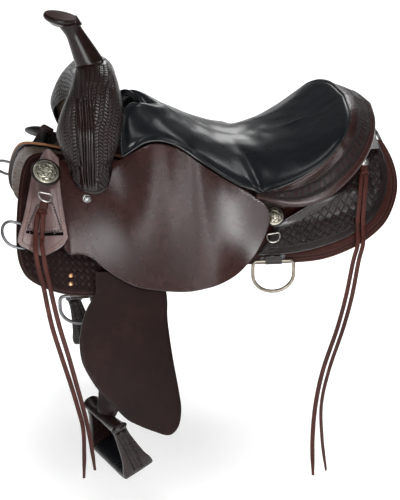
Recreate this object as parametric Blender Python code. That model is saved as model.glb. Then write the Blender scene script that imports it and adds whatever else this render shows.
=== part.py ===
# Western trail saddle. Metres, +Z up, the horse faces -X, and its near (left) side is -Y.
# The origin is under the saddle's channel, on the centre plane, half way along the skirts.
import math

import bmesh
import bpy
from mathutils import Matrix, Vector

for old in list(bpy.data.objects):
    bpy.data.objects.remove(old, do_unlink=True)

# Clearances
CELL = (0.060, 0.036)  # grid that every layer of leather is cut along
GAP = 0.0008          # between layers of leather
SEAT_GAP = 0.0003     # between pieces that touch

# The horse's back, which every layer follows
RISE_FRONT = 0.052    # how much higher the ridge is at FRONT_X than at the middle
RISE_REAR = 0.030
FRONT_X = -0.33
REAR_X = 0.35
ROUND_LENGTH = 0.34   # arc length over which the slope goes from its top to its bottom value
SLOPE_TOP = (28.0, 30.0, 22.0)      # degrees at the ridge: front, middle, rear
SLOPE_BOTTOM = (72.0, 76.0, 68.0)   # degrees at the end of the arc: front, middle, rear

# Layers, from the horse outwards
FLEECE_THICK = 0.016
SKIRT_THICK = 0.0055
BAR_THICK = 0.024
BAR_EDGE = 0.006
BAR_X = (-0.275, 0.285)
BAR_S = (0.030, 0.125)
LEATHER = 0.0045      # jockeys and fenders
STRAP_THICK = 0.004
SKIRT_OUT = FLEECE_THICK + GAP + SKIRT_THICK
TREE_RISE = SKIRT_OUT - 0.0223      # the tree and all above it were drawn over layers of 22.3 mm

# Fender and stirrup
FENDER_TOUCH = (-0.18, 0.26)        # where its plane is nearest to the skirt, along and down the back
FENDER_GAP = 0.0065
FENDER_PIVOT = (-0.011, -0.165)     # hinge, across and down the fender's own plane
FENDER_BEND_START = 0.05
FENDER_BEND_RADIUS = 1.2
FENDER_TOP_RADIUS = 0.128           # its hidden top edge is an arc round the hinge
BOLT_PLACE = (-0.044, 0.232)        # middle of the stirrup bolt, in the same plane
BOLT_INSET = 0.026                  # how far behind that plane it is
BOLT_YAW = 22.0
BOLT_RADIUS = 0.004
SLEEVE_RADIUS = 0.0085
STIRRUP_TOP = 0.118
STIRRUP_BOTTOM = 0.146
STIRRUP_HEIGHT = 0.094
STIRRUP_LEAN = 20.0
TREAD_DEPTH = 0.062
NECK_WIDTH = 0.074

# Seat and cantle
SEAT_THICK = 0.013
SEAT_EDGE = 0.004
GROUND_THICK = 0.006
ROLL_THICK = 0.009
CANTLE_THICK = 0.014
COVER_THICK = 0.003

# Swell and horn
SWELL_LEATHER = 0.0035
HORN_CAP_LENGTH = 0.064
HORN_CAP_WIDTH = 0.060
HORN_CAP_THICK = 0.011
HORN_CAP_TILT = 12.0
HORN_POST_RADIUS = 0.010

# Metal
RING_WIRE = 0.0055
DEE_WIRE = 0.0065
SMALL_WIRE = 0.003
CONCHO_FRONT = 0.047
CONCHO_REAR = 0.033

# Saddle strings
STRING_RADIUS = 0.0036
STRING_POINTS = 32


# Curves and frames

def smooth(x):
    x = min(1.0, max(0.0, x))
    return x * x * (3 - 2 * x)


def mix(a, b, t):
    return a + (b - a) * t


def through(points, x):
    """The height at x of a smooth curve through design points (x, value, ...)."""
    n = len(points)
    if x <= points[0][0]:
        return points[0][1]
    if x >= points[-1][0]:
        return points[-1][1]
    i = max(k for k in range(n - 1) if points[k][0] <= x)

    def slope(k):
        a, b = points[max(k - 1, 0)], points[min(k + 1, n - 1)]
        return (b[1] - a[1]) / (b[0] - a[0])

    (x0, y0), (x1, y1) = points[i][:2], points[i + 1][:2]
    w = x1 - x0
    t = (x - x0) / w
    m0, m1 = slope(i) * w, slope(i + 1) * w
    return ((2 * t**3 - 3 * t**2 + 1) * y0 + (t**3 - 2 * t**2 + t) * m0
            + (3 * t**2 - 2 * t**3) * y1 + (t**3 - t**2) * m1)


def spline(points, count, closed=False):
    """Evenly spaced points on a smooth curve through the given ones, in any number of dimensions."""
    pts = [Vector(p) for p in points]
    n = len(pts)
    spans = n if closed else n - 1
    fine = []
    for i in range(spans):
        p1, p2 = pts[i], pts[(i + 1) % n]
        p0 = pts[i - 1] if (closed or i > 0) else p1 * 2 - p2
        p3 = pts[(i + 2) % n] if (closed or i + 2 < n) else p2 * 2 - p1
        for k in range(12):
            t = k / 12
            fine.append(0.5 * (2 * p1 + (p2 - p0) * t + (2 * p0 - 5 * p1 + 4 * p2 - p3) * t * t
                               + (3 * p1 - p0 - 3 * p2 + p3) * t**3))
    fine.append(pts[0].copy() if closed else pts[-1].copy())
    lengths = [0.0]
    for a, b in zip(fine, fine[1:]):
        lengths.append(lengths[-1] + (b - a).length)
    result, j = [], 0
    for k in range(count if closed else count):
        want = lengths[-1] * k / (count if closed else count - 1)
        while j < len(fine) - 2 and lengths[j + 1] < want:
            j += 1
        part = (want - lengths[j]) / max(lengths[j + 1] - lengths[j], 1e-9)
        result.append(fine[j].lerp(fine[j + 1], min(part, 1.0)))
    return result


def rounded(stretches, step=0.018):
    """An outline of smooth stretches that meet at corners."""
    result = []
    for stretch in stretches:
        length = sum((Vector(b) - Vector(a)).length for a, b in zip(stretch, stretch[1:]))
        count = max(2, round(length / step) + 1)
        result += [tuple(p) for p in spline(stretch, count)][:-1]
    return result


# The horse's back

def slopes(x):
    front = smooth(-(x + 0.02) / 0.28)
    rear = smooth((x - 0.05) / 0.28)
    values = []
    for at_front, at_middle, at_rear in (SLOPE_TOP, SLOPE_BOTTOM):
        values.append(math.radians(mix(mix(at_middle, at_front, front), at_rear, rear)))
    return values


def ridge(x):
    return RISE_FRONT * (x / FRONT_X) ** 2 if x < 0 else RISE_REAR * (x / REAR_X) ** 2


def back(x, s, h=0.0):
    """The point s down the near side of the back at x, and h out from it."""
    top, bottom = slopes(x)
    turn = (bottom - top) / ROUND_LENGTH
    angle = top + turn * s
    y = (math.sin(angle) - math.sin(top)) / turn + h * math.sin(angle)
    z = ridge(x) - (math.cos(top) - math.cos(angle)) / turn + h * math.cos(angle)
    return Vector((x, -y, z))


def frame_at(x, s, h):
    """Place, outward normal, direction to the rear and direction down at a point over the back."""
    step = 0.001
    along = (back(x + step, s, h) - back(x - step, s, h)).normalized()
    down = (back(x, s + step, h) - back(x, s - step, h)).normalized()
    out = down.cross(along).normalized()
    if out.y > 0:
        out = -out
    return back(x, s, h), out, along, down


# Building meshes

def material(name, colour, rough, metal=0.0):
    made = bpy.data.materials.new(name)
    made.use_nodes = True
    shader = made.node_tree.nodes["Principled BSDF"]
    shader.inputs["Base Color"].default_value = (*colour, 1.0)
    shader.inputs["Roughness"].default_value = rough
    shader.inputs["Metallic"].default_value = metal
    return made


BROWN = material("brown_leather", (0.045, 0.018, 0.016), 0.35)
DARK = material("tooled_leather", (0.020, 0.011, 0.010), 0.4)
BLACK = material("seat_leather", (0.008, 0.009, 0.011), 0.3)
STRING = material("string_leather", (0.09, 0.03, 0.025), 0.5)
FLEECE = material("fleece", (0.55, 0.45, 0.32), 0.95)
WOOD = material("tree_wood", (0.45, 0.32, 0.2), 0.6)
TAN = material("tan_leather", (0.4, 0.2, 0.08), 0.6)
SILVER = material("antique_silver", (0.45, 0.42, 0.36), 0.35, 1.0)
STEEL = material("nickel_steel", (0.32, 0.32, 0.32), 0.35, 1.0)
BRONZE = material("nickel_bronze", (0.36, 0.33, 0.28), 0.35, 1.0)


def add(name, shape, look, side=-1, origin=None):
    """A mesh object. Shapes are made for the near side, and side 1 mirrors them to the off side."""
    verts, faces = shape
    place = Vector(origin) if origin is not None else Vector((0, 0, 0))
    points = [Vector(v) - place for v in verts]
    if side > 0:
        points = [Vector((p.x, -p.y, p.z)) for p in points]
        place.y = -place.y
    mesh = bpy.data.meshes.new(name)
    mesh.from_pydata([tuple(p) for p in points], [], faces)
    body = bmesh.new()
    body.from_mesh(mesh)
    bmesh.ops.remove_doubles(body, verts=body.verts, dist=1e-6)
    bmesh.ops.recalc_face_normals(body, faces=body.faces)
    body.to_mesh(mesh)
    body.free()
    mesh.shade_smooth()
    mesh.set_sharp_from_angle(angle=math.radians(35))
    mesh.materials.append(look)
    made = bpy.data.objects.new(name, mesh)
    made.location = place
    bpy.context.scene.collection.objects.link(made)
    return made


def union(target, *others):
    """Joins overlapping shapes into the target's one body."""
    for other in others:
        other.hide_render = True
        other.display_type = "WIRE"
        joined = target.modifiers.new("join", "BOOLEAN")
        joined.operation = "UNION"
        joined.object = other
    return target


def cut(target, cutter):
    cutter.hide_render = True
    cutter.display_type = "WIRE"
    made = target.modifiers.new("cut", "BOOLEAN")
    made.operation = "DIFFERENCE"
    made.object = cutter
    return target


def cells(outline, cell):
    """The outline's flat face, cut along a grid that all layers share, as points and triangles."""
    flat = bmesh.new()
    flat.faces.new([flat.verts.new((p[0], p[1], 0)) for p in outline])
    for axis in (0, 1):
        low, high = min(p[axis] for p in outline), max(p[axis] for p in outline)
        normal = (1, 0, 0) if axis == 0 else (0, 1, 0)
        for k in range(math.ceil(low / cell[axis]), math.floor(high / cell[axis]) + 1):
            place = tuple(c * k * cell[axis] for c in normal)
            everything = flat.verts[:] + flat.edges[:] + flat.faces[:]
            bmesh.ops.bisect_plane(flat, geom=everything, plane_co=place, plane_no=normal, dist=1e-6)
    bmesh.ops.remove_doubles(flat, verts=flat.verts, dist=0.0006)
    bmesh.ops.triangulate(flat, faces=flat.faces)
    flat.verts.index_update()
    points = [(v.co.x, v.co.y) for v in flat.verts]
    faces = [tuple(v.index for v in f.verts) for f in flat.faces]
    rim = [tuple(v.index for v in e.verts) for e in flat.edges if len(e.link_faces) == 1]
    flat.free()
    return points, faces, rim


def sheet(outline, under, over, cell=CELL):
    """A layer of the outline's shape between two surfaces, each a function of the outline's plane."""
    points, faces, rim = cells(outline, cell)
    n = len(points)
    verts = [under(*p) for p in points] + [over(*p) for p in points]
    solid = [tuple(reversed(f)) for f in faces] + [tuple(i + n for i in f) for f in faces]
    solid += [(a, b, b + n, a + n) for a, b in rim]
    return verts, solid


def layer(outline, low, high, cell=CELL):
    """A sheet over the back. Low and high are heights over it, or functions of x and s."""
    low_at = low if callable(low) else lambda x, s: low
    high_at = high if callable(high) else lambda x, s: high
    return sheet(outline, lambda x, s: back(x, s, low_at(x, s)),
                 lambda x, s: back(x, s, high_at(x, s)), cell)


def loft(rings, closed=False):
    """A solid through rings of equal count. It is capped at its ends unless it closes on itself."""
    n = len(rings[0])
    verts = [p for ring in rings for p in ring]
    count = len(rings)
    faces = []
    for r in range(count if closed else count - 1):
        a, b = r * n, ((r + 1) % count) * n
        faces += [(a + k, a + (k + 1) % n, b + (k + 1) % n, b + k) for k in range(n)]
    if not closed:
        faces += [tuple(reversed(range(n))), tuple((count - 1) * n + k for k in range(n))]
    return verts, faces


def sweep(path, section, closed=False, across=None):
    """A section (a across, b up) carried along a path."""
    pts = [Vector(p) for p in path]
    n = len(pts)
    rings = []
    normal = Vector(across) if across is not None else None
    for i, p in enumerate(pts):
        ahead = pts[(i + 1) % n] if closed or i < n - 1 else p
        behind = pts[i - 1] if closed or i > 0 else p
        tangent = (ahead - behind).normalized()
        if normal is None:
            normal = tangent.orthogonal()
        normal = (normal - tangent * normal.dot(tangent)).normalized()
        other = tangent.cross(normal)
        rings.append([p + normal * a + other * b for a, b in section])
    return loft(rings, closed)


def circle(radius, count, squash=1.0):
    return [(radius * math.cos(2 * math.pi * k / count), radius * squash * math.sin(2 * math.pi * k / count))
            for k in range(count)]


def turned(profile, place, axis, count, stretch=1.0, along=None):
    """A profile of (radius, height) turned about an axis. Its first and last radius are 0."""
    up = Vector(axis).normalized()
    side = Vector(along) if along is not None else up.orthogonal()
    side = (side - up * side.dot(up)).normalized()
    other = up.cross(side)
    verts = [Vector(place) + up * profile[0][1]]
    for radius, height in profile[1:-1]:
        verts += [Vector(place) + up * height + side * (a * stretch) + other * b
                  for a, b in circle(radius, count)]
    verts.append(Vector(place) + up * profile[-1][1])
    rings = len(profile) - 2
    faces = [(0, 1 + (k + 1) % count, 1 + k) for k in range(count)]
    for r in range(rings - 1):
        a, b = 1 + r * count, 1 + (r + 1) * count
        faces += [(a + k, a + (k + 1) % count, b + (k + 1) % count, b + k) for k in range(count)]
    last, end = 1 + (rings - 1) * count, len(verts) - 1
    faces += [(end, last + k, last + (k + 1) % count) for k in range(count)]
    return verts, faces


def dee(bar_middle, along, down, width, depth, wire, bar_wire=None):
    """A D-shaped ring: a straight bar, and a bow that hangs from its ends."""
    middle, along, down = Vector(bar_middle), Vector(along).normalized(), Vector(down).normalized()
    half = width / 2
    corner = wire * 1.2
    path = [(k * (half - corner) / 2, 0.0) for k in range(-2, 3)]
    path += [(half - corner * 0.3, corner * 0.3), (half, corner * 1.1)]
    straight = depth - half * 0.92
    for k in range(0, 9):
        angle = math.pi * k / 8
        path.append((half * math.cos(angle), max(straight, corner * 1.6) + half * 0.92 * math.sin(angle)))
    path += [(-half, corner * 1.1), (-half + corner * 0.3, corner * 0.3)]
    points = [middle + along * a + down * b for a, b in path]
    return sweep(points, circle(wire / 2, 6), closed=True, across=along.cross(down))


def keeper(place, along, down, out, width, wire, length, thick):
    """A strip folded round a dee's bar, with both leaves going up from it."""
    inside = wire / 2 + SEAT_GAP * 1.5
    outside = inside + thick
    section = [(-length, outside)]
    for k in range(9):
        angle = math.pi * (0.5 - k / 8)
        section.append((outside * math.cos(angle), outside * math.sin(angle)))
    section += [(-length, -outside), (-length, -inside)]
    for k in range(9):
        angle = math.pi * (-0.5 + k / 8)
        section.append((inside * math.cos(angle), inside * math.sin(angle)))
    section.append((-length, inside))
    place, along, down, out = Vector(place), Vector(along), Vector(down), Vector(out)
    return loft([[place + along * a + down * d + out * h for d, h in section] for a in (-width / 2, width / 2)])


# Heights of the layers over the back

def bar_bump(x, s, margin=0.0):
    """1 over a bar's middle, and 0 outside it."""
    width = 0.03
    ends = smooth((x - BAR_X[0] + margin) / width) * smooth((BAR_X[1] + margin - x) / width)
    return ends * smooth((BAR_S[1] + margin - s) / width)


def over_bars(x, s):
    return SKIRT_OUT + GAP + (BAR_THICK + GAP) * bar_bump(x, s, 0.03)


SEAM_S = [(-0.29, 0.050), (-0.167, 0.048), (-0.115, 0.033), (-0.07, 0.034), (-0.01, 0.062),
          (0.02, 0.082), (0.055, 0.102), (0.096, 0.116)]
SEAM_H = [(-0.30, 0.050), (-0.22, 0.060), (-0.167, 0.078), (-0.115, 0.114), (-0.07, 0.120),
          (-0.04, 0.115), (-0.01, 0.106), (0.096, 0.104)]
JOCKEY_LOW_S = 0.25


def jockey_low(x):
    """The height of the jockey's lower edge, with room for the fender under it."""
    low = mix(0.0245, 0.0385, smooth((x + 0.305) / 0.045)) - 0.008 * smooth((x - 0.0) / 0.08)
    return low + TREE_RISE


def under_jockey(x, s):
    seam_s, seam_h = through(SEAM_S, x), through(SEAM_H, x) + TREE_RISE
    low = jockey_low(x)
    part = max(0.0, (JOCKEY_LOW_S - s) / (JOCKEY_LOW_S - seam_s))
    return low + (seam_h - low) * part**2


# Skirts, fleece and tree bars

SKIRT_TOP = 0.012
RIGGING_FRONT = (-0.250, 0.2775)
RIGGING_REAR = (0.112, 0.2130)
SKIRT_EDGE = [(-0.292, SKIRT_TOP), (-0.323, 0.030), (-0.340, 0.063), (-0.351, 0.118), (-0.358, 0.176),
              (-0.360, 0.220), (-0.355, 0.249), (-0.340, 0.268), (-0.302, 0.279), (-0.262, 0.280),
              (-0.215, 0.272), (-0.150, 0.250), (-0.060, 0.222), (0.020, 0.211), (0.072, 0.212),
              (0.136, 0.219), (0.198, 0.226), (0.245, 0.222), (0.287, 0.210), (0.325, 0.186),
              (0.349, 0.149), (0.359, 0.113), (0.359, 0.072), (0.352, 0.032), (0.346, SKIRT_TOP)]


def skirt_outline():
    return rounded([SKIRT_EDGE, [(0.346, SKIRT_TOP), (0.15, SKIRT_TOP), (-0.1, SKIRT_TOP), (-0.292, SKIRT_TOP)]])


def inset(outline, amount):
    """The outline moved inwards by the amount."""
    pts = [Vector(p) for p in outline]
    n = len(pts)
    area = sum(pts[i].x * pts[(i + 1) % n].y - pts[(i + 1) % n].x * pts[i].y for i in range(n))
    turn = 1 if area > 0 else -1
    result = []
    for i in range(n):
        direction = (pts[(i + 1) % n] - pts[i - 1]).normalized()
        result.append(tuple(pts[i] + Vector((-direction.y, direction.x)) * amount * turn))
    return result


def fleece_outline():
    """The skirt's shape a little smaller, with a pocket at its lower edge for the front rigging."""
    result = []
    for x, s in inset(skirt_outline(), 0.006):
        pocket = s > 0.2 and abs(x - RIGGING_FRONT[0]) < 0.045
        result.append((x, min(s, 0.236) if pocket else s))
    return result


def make_skirts(side, name):
    add(f"fleece_{name}", layer(fleece_outline(), 0.0, FLEECE_THICK), FLEECE, side)
    add(f"skirt_{name}", layer(skirt_outline(), FLEECE_THICK + GAP, SKIRT_OUT), DARK, side)


def make_bar(side, name):
    low = SKIRT_OUT + GAP
    edge = rounded([[(BAR_X[0], 0.035), (BAR_X[0], 0.085), (-0.262, 0.120), (-0.225, BAR_S[1]),
                     (-0.15, 0.122), (-0.05, 0.112), (0.06, 0.112), (0.17, 0.122), (0.235, 0.120),
                     (0.272, 0.105), (BAR_X[1], 0.070), (BAR_X[1], 0.035)],
                    [(BAR_X[1], 0.035), (0.1, BAR_S[0]), (-0.1, BAR_S[0]), (BAR_X[0], 0.035)]])
    high = lambda x, s: low + mix(BAR_EDGE, BAR_THICK, bar_bump(x, s))
    add(f"tree_bar_{name}", layer(edge, low, high), WOOD, side)


# Jockeys

SWELL_FOOT = [(-0.176, 0.052), (-0.181, 0.075), (-0.194, 0.092), (-0.217, 0.098), (-0.240, 0.092),
              (-0.253, 0.075), (-0.258, 0.052)]


def jockey_outline():
    seam = [(x, through(SEAM_S, x) + 0.0015) for x in (0.055, 0.02, -0.02, -0.06, -0.1, -0.14, -0.176)]
    return rounded([
        [(-0.286, 0.046), (-0.285, 0.12), (-0.280, 0.190)],
        [(-0.280, 0.190), (-0.268, 0.212), (-0.246, 0.209), (-0.225, 0.212), (-0.204, 0.226),
         (-0.174, 0.241), (-0.142, 0.251), (-0.103, 0.254), (-0.057, 0.255), (-0.023, 0.251),
         (0.009, 0.244), (0.041, 0.230), (0.068, 0.209), (0.083, 0.193), (0.099, 0.168),
         (0.106, 0.145), (0.098, 0.130), (0.078, 0.117), (0.055, through(SEAM_S, 0.055) + 0.0015)],
        seam,
        [(-0.176, through(SEAM_S, -0.176) + 0.0015)] + SWELL_FOOT[1:],
        [SWELL_FOOT[-1], (-0.286, 0.046)],
    ])


def make_jockeys(side, name):
    high = lambda x, s: under_jockey(x, s) + LEATHER
    add(f"side_jockey_{name}", layer(jockey_outline(), under_jockey, high), BROWN, side)
    rear = rounded([
        [(0.118, 0.150), (0.108, 0.172), (0.085, 0.196), (0.094, 0.200), (0.152, 0.205), (0.210, 0.204),
         (0.262, 0.195), (0.305, 0.172), (0.334, 0.130), (0.343, 0.085), (0.341, 0.040), (0.338, 0.014)],
        [(0.338, 0.014), (0.318, 0.014), (0.300, 0.014)],
        [(0.300, 0.014), (0.298, 0.045), (0.280, 0.085), (0.230, 0.118), (0.160, 0.138), (0.118, 0.150)],
    ])
    low = lambda x, s: over_bars(x, s) + GAP
    high_rear = lambda x, s: over_bars(x, s) + GAP + LEATHER
    add(f"rear_jockey_{name}", layer(rear, low, high_rear, (CELL[0] / 2, CELL[1])), DARK, side)


# Fender, stirrup leather and stirrup

def fender_frame():
    place, out, along, down = frame_at(*FENDER_TOUCH, SKIRT_OUT)
    level = out.cross(Vector((0, 0, 1))).normalized()
    if level.x < 0:
        level = -level
    drop = out.cross(level)
    if drop.z > 0:
        drop = -drop
    return place + out * FENDER_GAP, out, level, drop


def fender_point(u, d, h=0.0):
    """The point across and down the fender, and h out from its inner face."""
    place, out, level, drop = fender_frame()
    bend = max(0.0, d - FENDER_BEND_START) ** 2 / (2 * FENDER_BEND_RADIUS)
    return place + level * u + drop * d + out * (h - bend)


def fender_outline():
    pu, pd = FENDER_PIVOT
    arc = []
    for degrees in (-13, -3, 8, 18, 28, 38):
        angle = math.radians(degrees)
        arc.append((pu + FENDER_TOP_RADIUS * math.sin(angle), pd + FENDER_TOP_RADIUS * math.cos(angle)))
    return rounded([
        arc,
        [arc[-1], (0.088, 0.010), (0.084, 0.066), (0.085, 0.130), (0.090, 0.198), (0.091, 0.232),
         (0.083, 0.262), (0.064, 0.276), (0.036, 0.265), (0.007, 0.249), (-0.014, 0.234),
         (-0.037, 0.205), (-0.058, 0.178), (-0.073, 0.151), (-0.085, 0.116), (-0.083, 0.076),
         (-0.066, 0.030), (-0.045, -0.001), arc[0]],
    ])


def bolt_frame():
    """The bolt's middle, its axis towards the near side, down through the stirrup, and its depth."""
    middle = fender_point(*BOLT_PLACE, -BOLT_INSET)
    yaw, lean = math.radians(BOLT_YAW), math.radians(STIRRUP_LEAN)
    axis = Vector((math.sin(yaw), -math.cos(yaw), 0))
    level = Vector((math.cos(yaw), math.sin(yaw), 0))
    down = Vector((0, 0, -1)) * math.cos(lean) + level * math.sin(lean)
    depth = level * math.cos(lean) + Vector((0, 0, 1)) * math.sin(lean)
    return middle, axis, down, depth


def make_fender(side, name):
    pivot = fender_point(*FENDER_PIVOT)
    panel = sheet(fender_outline(), lambda u, d: fender_point(u, d), lambda u, d: fender_point(u, d, LEATHER),
                  (0.04, 0.03))
    fender = add(f"fender_{name}", panel, BROWN, side, pivot)
    # The leather sewn behind it turns a quarter and ends in a sleeve round the bolt
    middle, axis, down, depth = bolt_frame()
    place, out, level, drop = fender_frame()
    rings = []
    steps = 10
    start = Vector((BOLT_PLACE[0], 0.09))
    sleeve_top = middle - down * (SLEEVE_RADIUS * 0.8)
    narrow = 0.74
    for k in range(steps + 1):
        t = k / steps
        d = mix(start.y, BOLT_PLACE[1] - 0.012, t)
        sewn = fender_point(start.x, d, -STRAP_THICK / 2 + 0.0016)
        centre = sewn.lerp(sleeve_top, smooth((t - 0.25) / 0.7))
        turn = smooth((t - 0.5) / 0.5)
        across = level.lerp(axis, turn).normalized()
        ahead = drop.lerp(down, turn).normalized()
        normal = ahead.cross(across).normalized()
        half, thick = NECK_WIDTH / 2 * mix(1.0, narrow, turn), STRAP_THICK / 2 * mix(1.0, 1.6, turn)
        rings.append([centre + across * a * half + normal * b * thick
                      for a, b in ((-1, -1), (0, -1), (1, -1), (1, 1), (0, 1), (-1, 1))])
    neck = add("neck", loft(rings), BROWN, side)
    half = NECK_WIDTH / 2 * narrow
    tube = add("sleeve", loft([[middle + axis * a + down * p + depth * q for p, q in circle(SLEEVE_RADIUS, 14)]
                               for a in (-half - 0.0015, half + 0.0015)]), BROWN, side)
    bore = add("bore", loft([[middle + axis * a + down * p + depth * q
                              for p, q in circle(BOLT_RADIUS + SEAT_GAP, 12)]
                             for a in (-half * 1.2, half * 1.2)]), BROWN, side)
    union(fender, neck, tube)
    cut(fender, bore)
    # The leather above it, which goes over the tree's bar under the jockey
    x0, x1 = FENDER_TOUCH[0] - 0.03, FENDER_TOUCH[0] + 0.034
    s0, s1 = BAR_S[1] + 0.018, FENDER_TOUCH[1] - 0.055
    hanger = rounded([[(x0, s0), (x1, s0)], [(x1, s0), (x1, s1)], [(x1, s1), (x0, s1)], [(x0, s1), (x0, s0)]], 0.03)
    low = lambda x, s: over_bars(x, s) + GAP
    high = lambda x, s: over_bars(x, s) + GAP + STRAP_THICK
    add(f"stirrup_leather_{name}", layer(hanger, low, high), BROWN, side)


def make_stirrup(side, name):
    middle, axis, down, depth = bolt_frame()
    at = lambda a, d, t: middle + axis * a + down * d + depth * t
    # Each leg and the tread are one bent, leather-covered strip
    half_top, half_low, height = STIRRUP_TOP / 2, STIRRUP_BOTTOM / 2, STIRRUP_HEIGHT
    thick, round_low = 0.011, 0.022
    line = [(half_top, -0.013, 0.013), (half_top + 0.001, 0.010, 0.014), (half_low - 0.003, height * 0.55, 0.022),
            (half_low, height - round_low, 0.029), (half_low - 0.004, height - 0.007, 0.031),
            (half_low - round_low, height, 0.031), (half_low * 0.35, height, 0.031)]
    line += [(-a, d, w) for a, d, w in reversed(line)]
    pts = [Vector((a, d)) for a, d, w in line]
    rings = []
    for i, (a, d, w) in enumerate(line):
        tangent = (pts[min(i + 1, len(pts) - 1)] - pts[max(i - 1, 0)]).normalized()
        normal = Vector((tangent.y, -tangent.x))
        body = thick * (1.25 if height - d < 0.001 else 1.0)
        inner = Vector((a, d)) - normal * body if normal.dot(Vector((a, d - height / 2))) > 0 \
            else Vector((a, d)) + normal * body
        outer = Vector((a, d))
        soft = 0.8
        rings.append([at(*p, t) for p, t in (
            (outer, -w * soft), (outer, w * soft), (outer.lerp(inner, 0.25), w), (outer.lerp(inner, 0.75), w),
            (inner, w * soft), (inner, -w * soft), (outer.lerp(inner, 0.75), -w), (outer.lerp(inner, 0.25), -w))])
    frame = add(f"stirrup_{name}", loft(rings), DARK, side, middle)
    hole = add("bolt_hole", loft([[at(a, p, q) for p, q in circle(BOLT_RADIUS + SEAT_GAP, 12)]
                                  for a in (-0.1, 0.1)]), DARK, side)
    cut(frame, hole)
    reach = half_top + 0.0012
    head = 0.0075
    profile = [(0, -reach - 0.004), (head * 0.8, -reach - 0.004), (head, -reach - 0.003), (head, -reach),
               (BOLT_RADIUS, -reach), (BOLT_RADIUS, reach), (head, reach), (head, reach + 0.003),
               (head * 0.8, reach + 0.004), (0, reach + 0.004)]
    add(f"stirrup_bolt_{name}", turned(profile, middle, axis, 12), STEEL, side, middle)


# Seat, ground seat, cantle and roll, drawn for the near half with y as a positive distance

SPINE = [(-0.107, 0.127), (-0.075, 0.1265), (-0.042, 0.1055), (-0.010, 0.0865), (0.023, 0.0715),
         (0.060, 0.0615), (0.100, 0.0615), (0.150, 0.069), (0.195, 0.085)]
NOTCH = [(-0.107, 0.0, 0.127), (-0.116, 0.022, 0.137), (-0.136, 0.040, 0.146), (-0.150, 0.056, 0.134),
         (-0.157, 0.073, 0.104)]
RIM_IN = [(0.096, 0.168, 0.007), (0.150, 0.179, 0.033), (0.203, 0.178, 0.068), (0.243, 0.155, 0.106),
          (0.266, 0.095, 0.125), (0.276, 0.0, 0.130)]
RIM_OUT = [(0.078, 0.166, 0.007), (0.104, 0.189, -0.001), (0.150, 0.203, -0.009), (0.205, 0.206, 0.005),
           (0.262, 0.188, 0.046), (0.300, 0.147, 0.082), (0.322, 0.078, 0.104), (0.331, 0.0, 0.110)]
SEAT_FRONT = -0.157
SEAT_ROWS_SIDE = 13
SEAT_ROWS_RIM = 13
SEAT_COLUMNS = 6


def risen(points):
    """The points of the drawing, moved up with the tree."""
    return [(*p[:-1], p[-1] + TREE_RISE) for p in points]


def seat_edge_point(x):
    p = back(x, through(SEAM_S, x), under_jockey(x, through(SEAM_S, x)) + LEATHER + SEAT_EDGE)
    return Vector((x, -p.y, p.z))


def seat_rows():
    """Near-half grid of the seat's top: rows from the front round to the rear middle."""
    side_x = [mix(SEAT_FRONT, 0.075, (k / (SEAT_ROWS_SIDE - 1)) ** 1.0) for k in range(SEAT_ROWS_SIDE)]
    edge = [seat_edge_point(x) for x in side_x]
    edge += spline(risen(RIM_IN), SEAT_ROWS_RIM)
    count = len(edge)
    first, last = SPINE[0][0], SPINE[-1][0]
    notch = spline(risen(NOTCH) + [tuple(edge[0])], SEAT_COLUMNS + 1)
    rows = []
    for i, e in enumerate(edge):
        u = i / (count - 1)
        x = mix(first, last, u**1.05)
        s = Vector((x, 0.0, through(SPINE, x) + TREE_RISE))
        power = mix(2.0, 1.35, smooth((u - 0.55) / 0.45))
        row = []
        for k in range(SEAT_COLUMNS + 1):
            v = k / SEAT_COLUMNS
            p = s.lerp(e, v)
            p.z = mix(s.z, e.z, v**power)
            row.append(p)
        rows.append(row)
    start = [p.copy() for p in rows[0]]
    for i in range(5):
        fade = 1 - smooth(i / 4)
        for k in range(SEAT_COLUMNS + 1):
            rows[i][k] += (notch[k] - start[k]) * fade
    return rows


def grid_normals(rows):
    out = []
    for i, row in enumerate(rows):
        line = []
        for k, p in enumerate(row):
            a = rows[min(i + 1, len(rows) - 1)][k] - rows[max(i - 1, 0)][k]
            b = row[min(k + 1, len(row) - 1)] - row[max(k - 1, 0)]
            if k == 0:
                b = Vector((0, 1, 0)) if i < len(rows) - 1 else b
                a.y = 0
            n = a.cross(b)
            if a.length < 1e-6:
                n = Vector((0, 0, 1))
            n.normalize()
            line.append(n if n.z > 0 else -n)
        out.append(line)
    for i in range(len(rows)):
        out[i][0].y = 0
        out[i][0].normalize()
    for k in range(len(rows[0])):
        out[-1][k].y = 0
        out[-1][k].normalize()
    return out


def two_sided(rows):
    """Rows of the near half, then the same rows mirrored in reverse order."""
    near = [[Vector((p.x, -p.y, p.z)) for p in row] for row in rows]
    off = [[p.copy() for p in row] for row in reversed(rows[:-1])]
    return near + off


def shell(top, bottom):
    """A closed skin between two open grids of the same size. Points that coincide are merged."""
    n, m = len(top), len(top[0])
    verts = [p for row in top for p in row] + [p for row in bottom for p in row]
    base = n * m
    faces = []
    for i in range(n - 1):
        for k in range(m - 1):
            a = i * m + k
            faces.append((a, a + 1, a + m + 1, a + m))
            faces.append((base + a, base + a + m, base + a + m + 1, base + a + 1))
        a = i * m + m - 1
        faces.append((a, base + a, base + a + m, a + m))
    return verts, faces, base


def seat_shell(rows_top, rows_bottom):
    top, bottom = two_sided(rows_top), two_sided(rows_bottom)
    verts, faces, base = shell(top, bottom)
    m = len(top[0])
    last = (len(top) - 1) * m
    for k in range(m - 1):
        faces.append((k, base + k, base + k + 1, k + 1))
        faces.append((last + k, last + k + 1, base + last + k + 1, base + last + k))
    return verts, faces


def moved(rows, normals, amount):
    """The grid moved along its normals by an amount that may depend on row and column fractions."""
    n, m = len(rows), len(rows[0])
    return [[rows[i][k] + normals[i][k] * amount(i / (n - 1), k / (m - 1)) for k in range(m)] for i in range(n)]


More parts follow.
